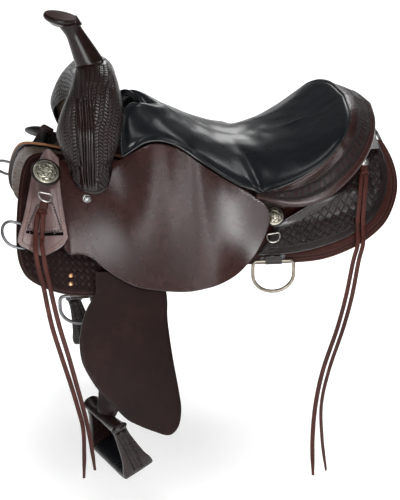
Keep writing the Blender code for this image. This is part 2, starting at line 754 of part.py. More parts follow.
def make_seat():
    rows = seat_rows()
    normals = grid_normals(rows)
    edge_fade = lambda v: smooth((v - 0.72) / 0.28)
    bottom = moved(rows, normals, lambda u, v: -mix(SEAT_THICK, SEAT_EDGE, edge_fade(v)))
    add("seat", seat_shell(rows, bottom), BLACK)
    inner = [row[:-1] for row in rows[4:]]
    inner_normals = [row[:-1] for row in normals[4:]]
    top = moved(inner, inner_normals, lambda u, v: -SEAT_THICK - GAP)
    low = moved(inner, inner_normals, lambda u, v: -SEAT_THICK - GAP - GROUND_THICK)
    add("ground_seat", seat_shell(top, low), TAN)
    return low


def make_riser(side, name, ground):
    """The block between the ground seat's edge and the tree's bar."""
    rings = []
    for row in ground[:SEAT_ROWS_SIDE - 6]:
        edge, inner = row[-1], row[-2]
        seat_in = edge.lerp(inner, 0.25)
        seat_out = edge.lerp(inner, 0.02)
        drop = Vector((0, 0, GAP))
        s = max(0.060, min(0.098, through(SEAM_S, edge.x) + 0.020))
        inner_foot, outer_foot = (back(edge.x, s + a, over_bars(edge.x, s + a) + GAP) for a in (-0.008, 0.004))
        ring_points = [Vector((p.x, -p.y, p.z)) - drop for p in (seat_in, seat_out)]
        rings.append(ring_points + [outer_foot, inner_foot])
    add(f"seat_riser_{name}", loft(rings), WOOD, side)


RIM_COUNT = SEAT_ROWS_RIM


def rim_frames():
    """Round the cantle from its near front end: inner edge, direction outwards, up, and width."""
    inner, outer = spline(risen(RIM_IN), RIM_COUNT), spline(risen(RIM_OUT), RIM_COUNT)
    frames = []
    for i in range(RIM_COUNT):
        a, b = inner[i], outer[i]
        across = b - a
        width = across.length
        across.normalize()
        near, far = max(i - 1, 0), min(i + 1, RIM_COUNT - 1)
        ahead = (outer[far] + inner[far] - outer[near] - inner[near]).normalized()
        up = ahead.cross(across).normalized()
        if up.z < 0:
            up = -up
        if i == RIM_COUNT - 1:
            up.y = across.y = 0
            up.normalize()
            across.normalize()
        frames.append((a, across, up, width))
    return frames


def roll_rings():
    """Sections of the cantle border with its rolled edge, from the near front end round to the off one."""
    rings = []
    for a, across, up, width in rim_frames():
        t = min(ROLL_THICK, width * 0.5)
        r = min(t * 0.62, width * 0.35)
        crown = 0.003 * min(1.0, width / 0.04)
        level = Vector((across.x, across.y, 0)).normalized()
        ring_points = [(width * 0.3, crown), (width * 0.62, crown), (width - r, 0.0015),
                       (width - r * 0.25, -r * 0.35), (width, -r), (width - r * 0.3, -r * 1.7), (width - r, -r * 2),
                       (width * 0.6, -t), (width * 0.3, -t)]
        inner = [a + level * 0.0055 - Vector((0, 0, 0.0055)), a + level * SEAT_GAP * 4]
        rings.append([a + across * p + up * q for p, q in ring_points] + inner)
    return rings


def make_roll():
    rings = two_sided(roll_rings())
    add("cantle_roll", loft(rings), BROWN)


CANTLE_FOOT = [(0.165, 0.104), (0.205, 0.098), (0.234, 0.082), (0.254, 0.052), (0.265, 0.018), (0.267, 0.0)]


def make_cantle():
    """The tree's cantle stands on the bars under the rim. Leather covers its back."""
    frames = rim_frames()[5:]
    foot = spline(CANTLE_FOOT, len(frames))
    wood, cover = [], []
    for i, ((a, across, up, width), f) in enumerate(zip(frames, foot)):
        low = back(f.x, f.y, over_bars(f.x, f.y) + 0.0005)
        low = Vector((low.x, -low.y if i < len(frames) - 1 else 0.0, low.z))
        outward = Vector((across.x, across.y, 0)).normalized()
        under = min(ROLL_THICK, width * 0.5) + 0.003
        high_in = a + across * 0.009 - up * (under + 0.003)
        high_out = a + across * (0.009 + CANTLE_THICK) - up * under
        base_in = low + outward * 0.002
        base_out = base_in + outward * CANTLE_THICK
        mid_in, mid_out = high_in.lerp(base_in, 0.5), high_out.lerp(base_out, 0.5) + outward * 0.002
        wood.append([high_in, high_out, mid_out, base_out, base_in, mid_in])
        skin = []
        lift = min(0.8, (LEATHER + GAP * 4) / (mid_out - base_out).length)
        edges = (high_out.lerp(mid_out, 0.06), mid_out, base_out.lerp(mid_out, lift))
        for far in (GAP * 2, GAP * 2 + COVER_THICK):
            skin.append([p + outward * far for p in edges])
        cover.append(skin[0] + list(reversed(skin[1])))
    add("tree_cantle", loft(two_sided(wood)), WOOD)
    add("cantle_back", loft(two_sided(cover)), BROWN)


def make_crupper():
    """A leather bridge over the channel behind the cantle, with the crupper dee under its rear edge."""
    x0, x1 = 0.306, 0.334
    rings = []
    heights = (LEATHER + GAP + 0.0055, LEATHER + GAP + 0.0055 + STRAP_THICK)
    for s in (0.046, 0.030, 0.018):
        ring_points = []
        for x, k in ((x0, 0), (x1, 0), (x1, 1), (x0, 1)):
            p = back(x, s, over_bars(x, s) + heights[k])
            ring_points.append(Vector((p.x, -p.y, p.z)))
        rings.append(ring_points)
    middle = [Vector((p.x, 0, p.z + 0.003)) for p in rings[-1]]
    rings.append(middle)
    add("crupper_tab", loft(two_sided(rings)), BROWN)
    place = Vector((x1 + 0.0065, 0, middle[1].z + 0.001))
    shape = dee(place, (0, 1, 0), (0.45, 0, -0.9), 0.030, 0.028, DEE_WIRE * 0.7)
    add("crupper_dee", shape, STEEL, -1, place)


# Fork, swell cover and horn

ARCH = [(0.0, 0.1695), (0.028, 0.166), (0.053, 0.153), (0.074, 0.128), (0.088, 0.100), (0.095, 0.070),
        (0.097, 0.046)]
ARCH_MIDDLE_X = [(0.0, -0.199), (0.2, -0.201), (0.4, -0.207), (0.62, -0.2155), (0.85, -0.2175), (1.0, -0.2165)]
ARCH_HALF = [(0.0, 0.038), (0.2, 0.043), (0.4, 0.0495), (0.62, 0.0525), (0.85, 0.043), (1.0, 0.031)]
ARCH_DEPTH = [(0.0, 0.050), (0.35, 0.046), (0.6, 0.036), (0.85, 0.025), (1.0, 0.019)]
FOOT_CENTRE = (-0.217, 0.077)
FOOT_SIZE = (0.018, 0.008)
COVER_POINTS = 18
COVER_FROM, COVER_TO = -32.0, 212.0


def fork_rings(angles, grow=0.0, flutes=0.0):
    """Sections of the fork from the middle of its top down to near its near foot."""
    stations = 9
    line = spline(risen(ARCH), stations)
    rings = []
    for i in range(stations):
        t = i / (stations - 1)
        y, z = line[i]
        a, b = line[max(i - 1, 0)], line[min(i + 1, stations - 1)]
        tangent = Vector((0, b[0] - a[0], b[1] - a[1])).normalized()
        if i == 0:
            tangent = Vector((0, 1, 0))
        out = Vector((0, -tangent.z, tangent.y))
        x0, half, depth = through(ARCH_MIDDLE_X, t), through(ARCH_HALF, t), through(ARCH_DEPTH, t)
        points = []
        for angle in angles:
            c, sn = math.cos(angle), math.sin(angle)
            x = x0 + math.copysign(abs(c) ** 0.75, c) * (half + grow)
            reach = math.copysign(abs(sn) ** 0.9, sn) * (depth + grow) * (1.0 if sn > 0 else 0.8)
            if flutes and sn > 0:
                window = smooth((t - 0.5) / 0.15)
                reach += flutes * window * sum(math.exp(-((x + 0.224 - k * 0.010) / 0.003) ** 2) for k in (-1, 0, 1))
            points.append(Vector((x, y, z)) + out * reach)
        rings.append(points)
    return rings


def mirrored(rings):
    """Near-half sections, foot first, then the same ones on the off side."""
    near = [[Vector((p.x, -p.y, p.z)) for p in ring] for ring in reversed(rings)]
    off = [[p.copy() for p in ring] for ring in rings[1:]]
    return near + off


def make_fork():
    span = [math.radians(mix(COVER_FROM, COVER_TO, k / (COVER_POINTS - 1))) for k in range(COVER_POINTS)]
    under = [math.radians(mix(COVER_TO, COVER_FROM + 360, k / 6)) for k in range(1, 6)]
    rings = fork_rings(span + under, -GAP * 3)
    foot = []
    for angle in span + under:
        x = FOOT_CENTRE[0] + FOOT_SIZE[0] * math.cos(angle)
        s = FOOT_CENTRE[1] + FOOT_SIZE[1] * math.sin(angle)
        p = back(x, s, over_bars(x, s) + 0.0005)
        foot.append(Vector((p.x, -p.y, p.z)))
    add("fork", loft(mirrored(rings + [foot])), WOOD)

    # The cover goes round the front, the outside and the rear of the fork
    inner = fork_rings(span, GAP)
    outer = fork_rings(span, GAP + SWELL_LEATHER, 0.0022)
    tip_in, tip_out = [], []
    for angle in span:
        c, sn = math.cos(angle), math.sin(angle)
        for tip, grow in ((tip_in, 0.0125), (tip_out, 0.016)):
            x = FOOT_CENTRE[0] + (FOOT_SIZE[0] + grow) * c
            s = FOOT_CENTRE[1] + 0.001 + (FOOT_SIZE[1] + grow + 0.002) * sn
            p = back(x, s, under_jockey(x, s) + LEATHER + GAP * 3)
            tip.append(Vector((p.x, -p.y, p.z)))
    rings = [a + list(reversed(b)) for a, b in zip(inner + [tip_in], outer + [tip_out])]
    add("swell_cover", loft(mirrored(rings)), DARK)


# The neck's middle (x, z), its radius and how far it leans
NECK = [(-0.2095, 0.2248, 0.0250, 15), (-0.2135, 0.2330, 0.0235, 20), (-0.2225, 0.2530, 0.0200, 26),
        (-0.2325, 0.2750, 0.0165, 30), (-0.2440, 0.2985, 0.0150, 30)]
POST_ENDS = ((-0.2112, 0.2285), (-0.2385, 0.2870))
CAP_CENTRE = Vector((-0.2565, 0.0, 0.3045 + TREE_RISE))


def make_horn():
    tilt = math.radians(HORN_CAP_TILT)
    up = Vector((math.sin(tilt), 0, math.cos(tilt)))
    r, t = HORN_CAP_WIDTH / 2, HORN_CAP_THICK
    under_cap = CAP_CENTRE - up * (t * 0.56 + GAP)
    side = Vector((0, 1, 0))
    low, high = (Vector((x, 0, z)) for x, z in risen(POST_ENDS))
    length = (high - low).length
    post_axis = (high - low).normalized()
    post = [(0, 0.0), (HORN_POST_RADIUS, 0.0), (HORN_POST_RADIUS, length), (0, length)]
    add("horn_post", turned(post, low, post_axis, 14), STEEL)
    rings, bore = [], []
    for x, z, radius, lean in NECK:
        lean = math.radians(lean)
        axis = Vector((-math.sin(lean), 0, math.cos(lean)))
        front = side.cross(axis)
        centre = Vector((x, 0, z + TREE_RISE))
        on_post = low + post_axis * ((centre - low).dot(axis) / post_axis.dot(axis))
        for target, middle, size in ((rings, centre, radius), (bore, on_post, HORN_POST_RADIUS + SEAT_GAP)):
            points = [middle + side * a + front * b for a, b in circle(size, 18)]
            if len(target) == len(NECK) - 1:
                points = [p + axis * ((under_cap - p).dot(up) / axis.dot(up)) for p in points]
            target.append(points)
    add("horn_wrap", loft(rings + list(reversed(bore)), closed=True), BROWN)
    profile = [(0, -t * 0.55), (r * 0.86, -t * 0.5), (r * 0.97, -t * 0.25), (r, 0.0), (r * 0.97, t * 0.26),
               (r * 0.88, t * 0.38), (r * 0.5, t * 0.44), (0, t * 0.45)]
    add("horn_cap", turned(profile, CAP_CENTRE, up, 26, HORN_CAP_LENGTH / HORN_CAP_WIDTH, (1, 0, 0)), BROWN)


# Straps, conchos, rings and dees

CONCHO_PLACE = (-0.299, 0.082)
CONCHO_STRAP = [
    [(-0.272, 0.050), (-0.2735, 0.090), (-0.272, 0.126), (-0.268, 0.166), (-0.266, 0.186)],
    [(-0.266, 0.186), (-0.276, 0.200), (-0.295, 0.213), (-0.314, 0.222), (-0.333, 0.219), (-0.353, 0.214)],
    [(-0.353, 0.214), (-0.358, 0.204), (-0.344, 0.160), (-0.332, 0.110), (-0.322, 0.070), (-0.311, 0.048),
     (-0.291, 0.036), (-0.272, 0.050)],
]


def under_strap(x, s):
    over_skirt = over_bars(x, s)
    over_jockey = under_jockey(x, s) + LEATHER + GAP * 2.5
    over_dee = over_skirt + (RING_WIRE + GAP) * smooth((-x - 0.318) / 0.016) * smooth((s - 0.14) / 0.03)
    return max(over_dee, mix(over_dee, over_jockey, smooth((x + 0.318) / 0.028)))


def strap_over(x, s):
    return under_strap(x, s) + STRAP_THICK


def concho(name, x, s, height, diameter, look_side):
    place, out, along, down = frame_at(x, s, height)
    r = diameter / 2
    profile = [(0, 0), (r * 1.12, 0), (r * 1.15, r * 0.04), (r * 1.12, r * 0.09), (r, r * 0.10), (r * 0.98, r * 0.20),
               (r * 0.9, r * 0.24), (r * 0.82, r * 0.20), (r * 0.45, r * 0.36), (0, r * 0.42)]
    add(name, turned(profile, place, out, 22), SILVER, look_side)


def make_front_gear(side, name):
    add(f"concho_strap_{name}", layer(rounded(CONCHO_STRAP, 0.014), under_strap, strap_over, (CELL[0] / 4, CELL[1] / 2)), BROWN, side)
    x, s = CONCHO_PLACE
    height = max(strap_over(x + a, s + b) for a, b in ((0, 0), (0.02, 0), (-0.02, 0), (0, 0.02), (0, -0.02)))
    concho(f"front_concho_{name}", x, s, height + 0.0036, CONCHO_FRONT, side)


def string_tube(name, points, side):
    """A pair of thongs: one string folded in half through its dee."""
    path = spline(points, STRING_POINTS)
    add(name, sweep(path, circle(STRING_RADIUS, 6)), STRING, side)


def small_dee(name, x, s, height, side, width=0.024, depth=0.014):
    place, out, along, down = frame_at(x, s, height + SMALL_WIRE / 2 + SEAT_GAP)
    add(name, dee(place, along, down, width, depth, SMALL_WIRE), SILVER, side, place)


# Where the strings lie on the saddle (x, s), then how they hang from it (x, y, z). Each is one thong
# folded in half, so it has a front and a rear strand.
FRONT_TOP = [(-0.3175, 0.150), (-0.3080, 0.150)]
FRONT_ON = [[(-0.3215, 0.168), (-0.3250, 0.195)], [(-0.3105, 0.168), (-0.3135, 0.195)]]
FRONT_HANG = [
    [(-0.3275, -0.212, -0.057), (-0.3240, -0.233, -0.090), (-0.3174, -0.250, -0.117), (-0.3116, -0.266, -0.154),
     (-0.3048, -0.280, -0.189), (-0.2914, -0.297, -0.238), (-0.2777, -0.310, -0.287), (-0.2663, -0.320, -0.333),
     (-0.2590, -0.325, -0.372), (-0.2590, -0.330, -0.422), (-0.2610, -0.335, -0.467)],
    [(-0.3150, -0.214, -0.057), (-0.3113, -0.235, -0.090), (-0.3060, -0.253, -0.117), (-0.2993, -0.268, -0.154),
     (-0.2915, -0.281, -0.190), (-0.2788, -0.296, -0.239), (-0.2676, -0.307, -0.288), (-0.2574, -0.315, -0.333),
     (-0.2495, -0.319, -0.376), (-0.2443, -0.325, -0.415), (-0.2402, -0.330, -0.455)],
]
REAR_TOP = [(0.2865, 0.104), (0.2945, 0.104)]
REAR_ON = [[(0.2815, 0.122), (0.2762, 0.146), (0.2710, 0.182)], [(0.2905, 0.123), (0.2857, 0.148), (0.2805, 0.184)]]
REAR_HANG = [
    [(0.2655, -0.203, -0.089), (0.2555, -0.212, -0.122), (0.2437, -0.216, -0.189), (0.2279, -0.220, -0.254),
     (0.2029, -0.223, -0.337), (0.1901, -0.225, -0.410), (0.1860, -0.226, -0.486), (0.1888, -0.227, -0.563)],
    [(0.2752, -0.204, -0.088), (0.2654, -0.214, -0.121), (0.2547, -0.218, -0.188), (0.2391, -0.221, -0.254),
     (0.2143, -0.224, -0.337), (0.2012, -0.226, -0.410), (0.2045, -0.228, -0.486), (0.2137, -0.229, -0.553)],
]


def make_strings(side, name):
    x, s = -0.303, 0.1165
    height = max(strap_over(x + a, s + b) for a, b in ((0, 0), (0.014, 0), (-0.014, 0), (0, 0.02))) + 0.001
    small_dee(f"front_string_dee_{name}", x, s, height, side)
    lift = STRING_RADIUS + GAP
    for label, top, lying, hanging, surface, keep in (("front", FRONT_TOP, FRONT_ON, FRONT_HANG, strap_over, 7),
                                                      ("rear", REAR_TOP, REAR_ON, REAR_HANG, over_rear, 4)):
        strands = []
        for a, points, free in zip(top, lying, hanging):
            strand = []
            for x, s in [a] + points:
                height = max(surface(x + p, s + q) for p in (-0.008, 0, 0.008) for q in (-0.010, 0, 0.010))
                strand.append(tuple(back(x, s, height + lift + 0.001)))
            strand += free if side < 0 else free[:keep]
            strands.append(strand)
        string_tube(f"{label}_string_{name}", list(reversed(strands[0])) + strands[1], side)


def hanging_dee(name, x, s, height, side, width, depth, wire, look, keeper_width, keeper_length, keeper_look):
    """A rigging dee that hangs plumb from a bar along the saddle, in a folded strip."""
    place = back(x, s, height)
    ahead = (back(x + 0.03, s, height) - back(x - 0.03, s, height)).normalized()
    level = Vector((ahead.x, ahead.y, 0)).normalized()
    add(f"{name}_dee_{'left' if side < 0 else 'right'}", dee(place, level, (0, 0, -1), width, depth, wire),
        look, side, place)
    down = (place - back(x, s - keeper_length, height)).normalized()
    down = (down - level * down.dot(level)).normalized()
    out = down.cross(level)
    if out.y > 0:
        out = -out
    folded = keeper(place, level, down, out, keeper_width, wire, keeper_length, 0.0028)
    add(f"{name}_keeper_{'left' if side < 0 else 'right'}", folded, keeper_look, side)


def make_dees(side, name):
    hanging_dee("front_rigging", *RIGGING_FRONT, 0.0060, side, 0.072, 0.056, DEE_WIRE, STEEL, 0.034, 0.038, TAN)
    hanging_dee("rear_rigging", *RIGGING_REAR, SKIRT_OUT + 0.0105, side, 0.076, 0.062, DEE_WIRE, BRONZE,
                0.030, 0.0075, BRONZE)
    place, out, along, down = frame_at(-0.3445, 0.195, SKIRT_OUT + RING_WIRE / 2 + SEAT_GAP)
    add(f"breast_collar_dee_{name}", dee(place, down, -along, 0.046, 0.042, RING_WIRE), STEEL, side, place)


def over_rear(x, s):
    return over_bars(x, s) + GAP + LEATHER


def make_rear_gear(side, name):
    x, s = 0.118, 0.1415
    height = max(over_rear(x + a, s + b) for a, b in ((0, 0), (0.02, 0), (-0.02, 0), (0, 0.02), (0, -0.02)))
    concho(f"rear_concho_{name}", x, s, height + 0.0012, CONCHO_REAR, side)
    x, s = 0.116, 0.1655
    height = max(over_rear(x + a, s + b) for a, b in ((0, 0), (0.014, 0), (-0.014, 0), (0, 0.02))) + 0.0028
    small_dee(f"rear_string_dee_{name}", x, s, height, side)
    x, s = 0.294, 0.078
    place, out, along, down = frame_at(x, s, over_rear(x, s) + 0.0058)
    profile = [(0, 0), (0.0105, 0), (0.0112, 0.0014), (0.0095, 0.0035), (0.008, 0.0055), (0.004, 0.0072), (0, 0.0076)]
    add(f"string_button_{name}", turned(profile, place, out, 16), SILVER, side)
    x, s = -0.227, 0.1125
    place, out, along, down = frame_at(x, s, under_jockey(x, s) + LEATHER + 0.0029)
    profile = [(0, 0), (0.0078, 0), (0.0078, 0.0012), (0.0050, 0.0014), (0.0044, 0.0034), (0.0020, 0.0042), (0, 0.0042)]
    add(f"jockey_screw_{name}", turned(profile, place, out, 16), STEEL, side)


ground = make_seat()
make_roll()
make_cantle()
make_crupper()
make_fork()
make_horn()
for side, name in ((-1, "left"), (1, "right")):
    make_skirts(side, name)
    make_bar(side, name)
    make_riser(side, name, ground)
    make_jockeys(side, name)
    make_fender(side, name)
    make_stirrup(side, name)
    make_front_gear(side, name)
    make_strings(side, name)
    make_dees(side, name)
    make_rear_gear(side, name)
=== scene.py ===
import math

import bmesh
import bpy
import numpy as np
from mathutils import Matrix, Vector, noise


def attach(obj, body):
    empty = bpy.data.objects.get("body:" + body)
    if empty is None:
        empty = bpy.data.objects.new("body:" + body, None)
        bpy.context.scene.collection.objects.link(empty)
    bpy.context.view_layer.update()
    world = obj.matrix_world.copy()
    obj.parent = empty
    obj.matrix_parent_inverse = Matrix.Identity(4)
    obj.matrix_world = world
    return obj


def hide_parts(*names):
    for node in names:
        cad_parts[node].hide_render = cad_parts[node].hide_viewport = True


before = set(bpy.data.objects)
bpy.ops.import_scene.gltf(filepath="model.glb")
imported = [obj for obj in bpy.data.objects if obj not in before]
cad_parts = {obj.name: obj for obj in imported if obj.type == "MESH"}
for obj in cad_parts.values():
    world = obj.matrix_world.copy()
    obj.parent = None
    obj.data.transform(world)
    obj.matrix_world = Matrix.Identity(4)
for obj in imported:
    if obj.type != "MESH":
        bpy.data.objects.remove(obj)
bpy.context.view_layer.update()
scene = bpy.context.scene


def placed(name, data):
    """A new object in the scene."""
    made = bpy.data.objects.new(name, data)
    scene.collection.objects.link(made)
    return made


def direction(azimuth, elevation):
    """A direction in degrees. Azimuth 0 is straight out on the near side, and it grows towards the rear."""
    a, e = math.radians(azimuth), math.radians(elevation)
    return Vector((math.sin(a) * math.cos(e), -math.cos(a) * math.cos(e), math.sin(e)))


def look_back(made, away):
    """Turns a camera or a lamp so that it looks against the direction away."""
    made.rotation_mode = "QUATERNION"
    made.rotation_quaternion = Vector(away).to_track_quat("Z", "Y")


# Camera: the photograph's angle

CAMERA_TARGET = Vector((0, 0, -0.175))
CAMERA_AZIMUTH, CAMERA_ELEVATION, CAMERA_DISTANCE = -8, 24, 3.5
FOCAL_PIXELS, FRAME_PIXELS, SENSOR = 1797.25, 500, 36.0

camera = placed("camera", bpy.data.cameras.new("camera"))
to_camera = direction(CAMERA_AZIMUTH, CAMERA_ELEVATION)
camera.location = CAMERA_TARGET + to_camera * CAMERA_DISTANCE
look_back(camera, to_camera)
camera.data.lens = FOCAL_PIXELS / FRAME_PIXELS * SENSOR
camera.data.sensor_width = SENSOR
camera.data.clip_end = 60
scene.camera = camera

# Guards against dividing by nothing, and the step over which directions are measured
TINY = 1e-9
PROBE = 0.001
SPLINE_STEPS = 12
OUTLINE_STEP = 0.004

# Sizes and places that the CAD model uses too
GAP = 0.0008          # between layers of leather
SEAT_GAP = 0.0003     # between pieces that touch
# The horse's back, which every layer follows
RISE_FRONT = 0.052    # how much higher the ridge is at FRONT_X than at the middle
RISE_REAR = 0.030
FRONT_X = -0.33
REAR_X = 0.35
ROUND_LENGTH = 0.34   # arc length over which the slope goes from its top to its bottom value
SLOPE_TOP = (28.0, 30.0, 22.0)      # degrees at the ridge: front, middle, rear
SLOPE_BOTTOM = (72.0, 76.0, 68.0)   # degrees at the end of the arc: front, middle, rear
# Layers, from the horse outwards
FLEECE_THICK = 0.016
SKIRT_THICK = 0.0055
BAR_THICK = 0.024
BAR_X = (-0.275, 0.285)
BAR_S = (0.030, 0.125)
LEATHER = 0.0045      # jockeys and fenders
STRAP_THICK = 0.004
SKIRT_OUT = FLEECE_THICK + GAP + SKIRT_THICK
TREE_RISE = SKIRT_OUT - 0.0223      # the tree and all above it were drawn over layers of 22.3 mm
# Fender and stirrup
FENDER_TOUCH = (-0.18, 0.26)        # where its plane is nearest to the skirt, along and down the back
FENDER_GAP = 0.0065
FENDER_PIVOT = (-0.011, -0.165)     # hinge, across and down the fender's own plane
FENDER_BEND_START = 0.05
FENDER_BEND_RADIUS = 1.2
FENDER_TOP_RADIUS = 0.128           # its hidden top edge is an arc round the hinge
BOLT_PLACE = (-0.044, 0.232)        # middle of the stirrup bolt, in the same plane
BOLT_INSET = 0.026                  # how far behind that plane it is
BOLT_YAW = 22.0
BOLT_RADIUS = 0.004
SLEEVE_RADIUS = 0.0085
STIRRUP_TOP = 0.118
STIRRUP_BOTTOM = 0.146
STIRRUP_HEIGHT = 0.094
STIRRUP_LEAN = 20.0
NECK_WIDTH = 0.074
# Seat and cantle
SEAT_THICK = 0.013
SEAT_EDGE = 0.004
ROLL_THICK = 0.009
# Swell and horn
SWELL_LEATHER = 0.0035
HORN_CAP_LENGTH = 0.064
HORN_CAP_WIDTH = 0.060
HORN_CAP_THICK = 0.011
HORN_CAP_TILT = 12.0
# Metal
RING_WIRE = 0.0055
DEE_WIRE = 0.0065
SMALL_WIRE = 0.003
CONCHO_FRONT = 0.047
CONCHO_REAR = 0.033
# Saddle strings
STRING_RADIUS = 0.0036


def smooth(x):
    x = min(1.0, max(0.0, x))
    return x * x * (3 - 2 * x)


def mix(a, b, t):
    return a + (b - a) * t


def off(p):
    """The same point or direction on the other side of the saddle."""
    return Vector((p.x, -p.y, p.z))


def through(points, x):
    """The height at x of a smooth curve through design points (x, value, ...)."""
    n = len(points)
    if x <= points[0][0]:
        return points[0][1]
    if x >= points[-1][0]:
        return points[-1][1]
    i = max(k for k in range(n - 1) if points[k][0] <= x)

    def slope(k):
        a, b = points[max(k - 1, 0)], points[min(k + 1, n - 1)]
        return (b[1] - a[1]) / (b[0] - a[0])

    (x0, y0), (x1, y1) = points[i][:2], points[i + 1][:2]
    w = x1 - x0
    t = (x - x0) / w
    m0, m1 = slope(i) * w, slope(i + 1) * w
    return ((2 * t**3 - 3 * t**2 + 1) * y0 + (t**3 - 2 * t**2 + t) * m0
            + (3 * t**2 - 2 * t**3) * y1 + (t**3 - t**2) * m1)


def catmull(points, per, closed=False):
    """A smooth curve through the points, with per steps between each two."""
    n = len(points)
    result = []
    for i in range(n if closed else n - 1):
        p1, p2 = points[i], points[(i + 1) % n]
        p0 = points[i - 1] if (closed or i > 0) else p1 * 2 - p2
        p3 = points[(i + 2) % n] if (closed or i + 2 < n) else p2 * 2 - p1
        for k in range(per):
            t = k / per
            result.append(0.5 * (2 * p1 + (p2 - p0) * t + (2 * p0 - 5 * p1 + 4 * p2 - p3) * t * t
                                 + (3 * p1 - p0 - 3 * p2 + p3) * t**3))
    if not closed:
        result.append(points[-1].copy())
    return result


def steps_along(points):
    """Each point's distance along the row."""
    lengths = [0.0]
    for a, b in zip(points, points[1:]):
        lengths.append(lengths[-1] + (b - a).length)
    return lengths


def places_along(points, wanted):
    """For each wanted distance along the row, in rising order: the stretch it is on, and its share of that."""
    lengths = steps_along(points)
    result, j = [], 0
    for want in wanted:
        while j < len(points) - 2 and lengths[j + 1] < want:
            j += 1
        share = (want - lengths[j]) / max(lengths[j + 1] - lengths[j], TINY)
        result.append((j, min(share, 1.0)))
    return result


def points_along(points, wanted):
    return [points[j].lerp(points[j + 1], share) for j, share in places_along(points, wanted)]


def spline(points, count):
    """Evenly spaced points on a smooth curve through the given ones, in any number of dimensions."""
    fine = catmull([Vector(p) for p in points], SPLINE_STEPS)
    length = steps_along(fine)[-1]
    return points_along(fine, [length * k / (count - 1) for k in range(count)])


def resampled(points, step, closed=True):
    """Points evenly spaced on the polyline, in any number of dimensions."""
    pts = [Vector(p) for p in points]
    if closed:
        pts.append(pts[0].copy())
    length = steps_along(pts)[-1]
    count = max(3, round(length / step))
    return points_along(pts, [length * k / count for k in range(count if closed else count + 1)])


def rounded(stretches, step=0.005):
    """An outline of smooth stretches that meet at corners."""
    result = []
    for stretch in stretches:
        length = steps_along([Vector(p) for p in stretch])[-1]
        count = max(2, round(length / step) + 1)
        result += [tuple(p) for p in spline(stretch, count)][:-1]
    return result


def slopes(x):
    front = smooth(-(x + 0.02) / 0.28)
    rear = smooth((x - 0.05) / 0.28)
    values = []
    for at_front, at_middle, at_rear in (SLOPE_TOP, SLOPE_BOTTOM):
        values.append(math.radians(mix(mix(at_middle, at_front, front), at_rear, rear)))
    return values


def ridge(x):
    return RISE_FRONT * (x / FRONT_X) ** 2 if x < 0 else RISE_REAR * (x / REAR_X) ** 2


def back(x, s, h=0.0):
    """The point s down the near side of the back at x, and h out from it."""
    top, bottom = slopes(x)
    turn = (bottom - top) / ROUND_LENGTH
    angle = top + turn * s
    y = (math.sin(angle) - math.sin(top)) / turn + h * math.sin(angle)
    z = ridge(x) - (math.cos(top) - math.cos(angle)) / turn + h * math.cos(angle)
    return Vector((x, -y, z))


def frame_at(x, s, h):
    """Place, outward normal, direction to the rear and direction down at a point over the back."""
    along = (back(x + PROBE, s, h) - back(x - PROBE, s, h)).normalized()
    down = (back(x, s + PROBE, h) - back(x, s - PROBE, h)).normalized()
    out = down.cross(along).normalized()
    if out.y > 0:
        out = -out
    return back(x, s, h), out, along, down


def loft(rings, closed=False):
    """A solid through rings of equal count. It is capped at its ends unless it closes on itself."""
    n = len(rings[0])
    verts = [p for ring in rings for p in ring]
    count = len(rings)
    faces = []
    for r in range(count if closed else count - 1):
        a, b = r * n, ((r + 1) % count) * n
        faces += [(a + k, a + (k + 1) % n, b + (k + 1) % n, b + k) for k in range(n)]
    if not closed:
        faces += [tuple(reversed(range(n))), tuple((count - 1) * n + k for k in range(n))]
    return verts, faces


def sweep(path, section, closed=False, across=None):
    """A section (a across, b up) carried along a path."""
    pts = [Vector(p) for p in path]
    n = len(pts)
    rings = []
    normal = Vector(across) if across is not None else None
    for i, p in enumerate(pts):
        ahead = pts[(i + 1) % n] if closed or i < n - 1 else p
        behind = pts[i - 1] if closed or i > 0 else p
        tangent = (ahead - behind).normalized()
        if normal is None:
            normal = tangent.orthogonal()
        normal = (normal - tangent * normal.dot(tangent)).normalized()
        other = tangent.cross(normal)
        rings.append([p + normal * a + other * b for a, b in section])
    return loft(rings, closed)


def circle(radius, count, squash=1.0):
    return [(radius * math.cos(2 * math.pi * k / count), radius * squash * math.sin(2 * math.pi * k / count))
            for k in range(count)]


def turned(profile, place, axis, count, stretch=1.0, along=None):
    """A profile of (radius, height) turned about an axis. Its first and last radius are 0."""
    up = Vector(axis).normalized()
    side = Vector(along) if along is not None else up.orthogonal()
    side = (side - up * side.dot(up)).normalized()
    other = up.cross(side)
    verts = [Vector(place) + up * profile[0][1]]
    for radius, height in profile[1:-1]:
        verts += [Vector(place) + up * height + side * (a * stretch) + other * b
                  for a, b in circle(radius, count)]
    verts.append(Vector(place) + up * profile[-1][1])
    rings = len(profile) - 2
    faces = [(0, 1 + (k + 1) % count, 1 + k) for k in range(count)]
    for r in range(rings - 1):
        a, b = 1 + r * count, 1 + (r + 1) * count
        faces += [(a + k, a + (k + 1) % count, b + (k + 1) % count, b + k) for k in range(count)]
    last, end = 1 + (rings - 1) * count, len(verts) - 1
    faces += [(end, last + k, last + (k + 1) % count) for k in range(count)]
    return verts, faces


def bar_bump(x, s, margin=0.0):
    """1 over a bar's middle, and 0 outside it."""
    width = 0.03
    ends = smooth((x - BAR_X[0] + margin) / width) * smooth((BAR_X[1] + margin - x) / width)
    return ends * smooth((BAR_S[1] + margin - s) / width)


def over_bars(x, s):
    return SKIRT_OUT + GAP + (BAR_THICK + GAP) * bar_bump(x, s, 0.03)


SEAM_S = [(-0.29, 0.050), (-0.167, 0.048), (-0.115, 0.033), (-0.07, 0.034), (-0.01, 0.062),
          (0.02, 0.082), (0.055, 0.102), (0.096, 0.116)]
SEAM_H = [(-0.30, 0.050), (-0.22, 0.060), (-0.167, 0.078), (-0.115, 0.114), (-0.07, 0.120),
          (-0.04, 0.115), (-0.01, 0.106), (0.096, 0.104)]
JOCKEY_LOW_S = 0.25


